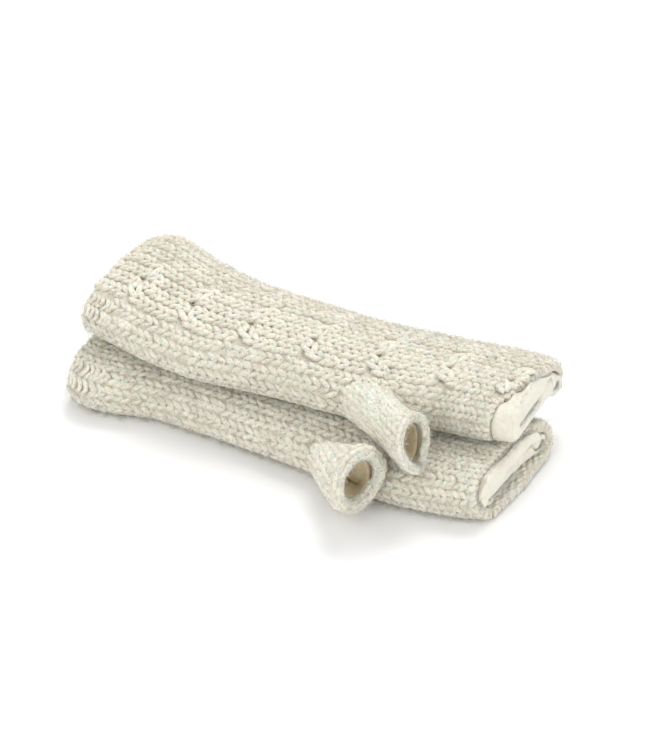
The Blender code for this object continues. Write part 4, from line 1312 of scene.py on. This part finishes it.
def add_mitt(mitt, materials, floor):
    """All the pieces of one hand warmer."""
    profile = unit_profile(mitt.top_power)
    yarn = materials.yarn
    wall = add_backing(mitt, profile, materials.backing)
    lining = add_lining(mitt, profile, materials.fleece)
    # The thumb lining takes the fleece darkened to tan with painted shade
    thumb_wall, thumb_lining = add_thumb_walls(mitt, profile, materials.backing, materials.tan)
    stitches = [
        add_yarn(f"{mitt.name}_stitches", [body_legs(mitt, profile, 7, RING, False)], yarn, floor),
        add_yarn(f"{mitt.name}_underside_stitches", [body_legs(mitt, profile, 5, RING, True)], yarn, floor),
        add_yarn(f"{mitt.name}_purl_bumps", [purl_bumps(mitt, profile, 8, RING)], yarn, floor),
        add_yarn(f"{mitt.name}_rim_bumps", [rim_bumps(mitt, profile, 8, RING)], yarn, floor),
        add_yarn(f"{mitt.name}_inner_bumps", [inner_bumps(mitt, profile, 6, RING)], yarn, floor),
        add_fuzz(mitt, profile, materials.fuzz, floor),
    ]
    if mitt.cable_place is not None:
        stitches.append(add_yarn(f"{mitt.name}_cable", [cable_legs(mitt, profile, 7, RING)], yarn, floor))
    thumb_yarn = [thumb_legs(mitt, profile, 7, RING), roll_bumps(mitt, profile, 7, RING)]
    thumb_stitches = [add_yarn(f"{mitt.name}_thumb_stitches", thumb_yarn, yarn, floor)]
    nap = [add_nap(mitt, profile, materials.pile, floor)]
    declare_sheets(mitt, profile)
    return wall


# The camera's place was fitted to the photo's outline: its heading, height and distance from the pair
VIEW_HEADING = 24.0
VIEW_RISE = 33.0
VIEW_DISTANCE = 1.0
VIEW_TARGET = (0.0, 0.0, 25.0)
PIXELS_PER_MM = 1.97
PHOTO_HEIGHT = 750
SENSOR = 36.0

# The studio, in metres: its lights, what they face, the floor and the surround's strength
LAMPS = (
    Lamp(name="key", place=(-0.1, 0.7, 1.15), size=0.8, power=11.0),
    Lamp(name="fill", place=(-0.4, -1.1, 0.75), size=1.2, power=7.6),
    Lamp(name="side", place=(1.2, -0.25, 0.6), size=0.8, power=3.6),
)
LAMPS_FACE = (0.0, 0.0, 0.03)
FLOOR_HALF = 3.0
FLOOR_DROP = 0.0004
FLOOR_COLOUR = (0.93, 0.93, 0.93, 1)
SURROUND_COLOUR = (1.0, 1.0, 1.0, 1.0)
SURROUND_STRENGTH = 0.62


def add_camera():
    """The camera at the photo's angle, far off with a long lens."""
    heading = math.radians(VIEW_HEADING)
    rise = math.radians(VIEW_RISE)
    level = math.cos(rise)
    back = np.array([math.sin(heading) * level, -math.cos(heading) * level, math.sin(rise)])
    data = bpy.data.cameras.new("camera")
    data.sensor_width = SENSOR
    data.lens = SENSOR * PIXELS_PER_MM * VIEW_DISTANCE / MM / PHOTO_HEIGHT
    data.clip_end = 20.0
    camera = bpy.data.objects.new("camera", data)
    target = (np.array(VIEW_TARGET) - PAIR_MIDDLE) * MM
    camera.location = target + back * VIEW_DISTANCE
    camera.rotation_euler = (math.pi / 2 - rise, 0.0, heading)
    bpy.context.scene.collection.objects.link(camera)
    bpy.context.scene.camera = camera


def add_light(lamp):
    """A soft square light that faces the pair."""
    data = bpy.data.lights.new(lamp.name, "AREA")
    data.size = lamp.size
    data.energy = lamp.power
    light = bpy.data.objects.new(lamp.name, data)
    light.location = lamp.place
    away = np.array(lamp.place) - np.array(LAMPS_FACE)
    tilt = math.acos(away[2] / np.linalg.norm(away))
    light.rotation_euler = (tilt, 0.0, math.atan2(away[1], away[0]) + math.pi / 2)
    bpy.context.scene.collection.objects.link(light)


def add_studio():
    """A pale floor, an even white surround and three large soft lights."""
    mesh = bpy.data.meshes.new("floor")
    half = FLOOR_HALF
    corners = [(-half, -half, 0), (half, -half, 0), (half, half, 0), (-half, half, 0)]
    mesh.from_pydata(corners, [], [(0, 1, 2, 3)])
    floor = bpy.data.objects.new("floor", mesh)
    floor.location.z = -FLOOR_DROP
    material = bpy.data.materials.new("floor")
    material.use_nodes = True
    shader = material.node_tree.nodes["Principled BSDF"]
    shader.inputs["Base Color"].default_value = FLOOR_COLOUR
    shader.inputs["Roughness"].default_value = 0.9
    shader.inputs["Specular IOR Level"].default_value = 0.1
    mesh.materials.append(material)
    bpy.context.scene.collection.objects.link(floor)
    world = bpy.data.worlds.new("studio")
    bpy.context.scene.world = world
    world.use_nodes = True
    surround = world.node_tree.nodes["Background"]
    surround.inputs["Color"].default_value = SURROUND_COLOUR
    surround.inputs["Strength"].default_value = SURROUND_STRENGTH
    for lamp in LAMPS:
        add_light(lamp)


def main():
    """Makes the materials, both hand warmers, the camera and the studio."""
    marl = marl_group()
    nap = nap_group()
    materials = Materials(
        yarn=wool_material("marled_wool_yarn", marl, YARN_COLOUR, 0.00035, True),
        backing=wool_material("shaded_marled_wool_backing", marl, BACKING_SHADED_COLOUR, 0.0005, False),
        fuzz=wool_material("loose_wool_fibres", marl, FUZZ_COLOUR, 0.0001, True),
        fleece=fleece_material("cream_fleece", nap, CREAM_PILE, CREAM_SHADE_BETWEEN),
        tan=fleece_material("shaded_tan_fleece", nap, SHADED_TAN_PILE, SHADED_TAN_BETWEEN),
        pile=fleece_material("lit_fleece_pile", nap, LIT_PILE, LIT_PILE_SHADE_BETWEEN),
    )
    lower = add_mitt(LOWER_MITT, materials, 0.0)
    add_mitt(UPPER_MITT, materials, 0.0)
    add_camera()
    add_studio()
    bpy.context.scene.view_settings.view_transform = "Standard"


main()
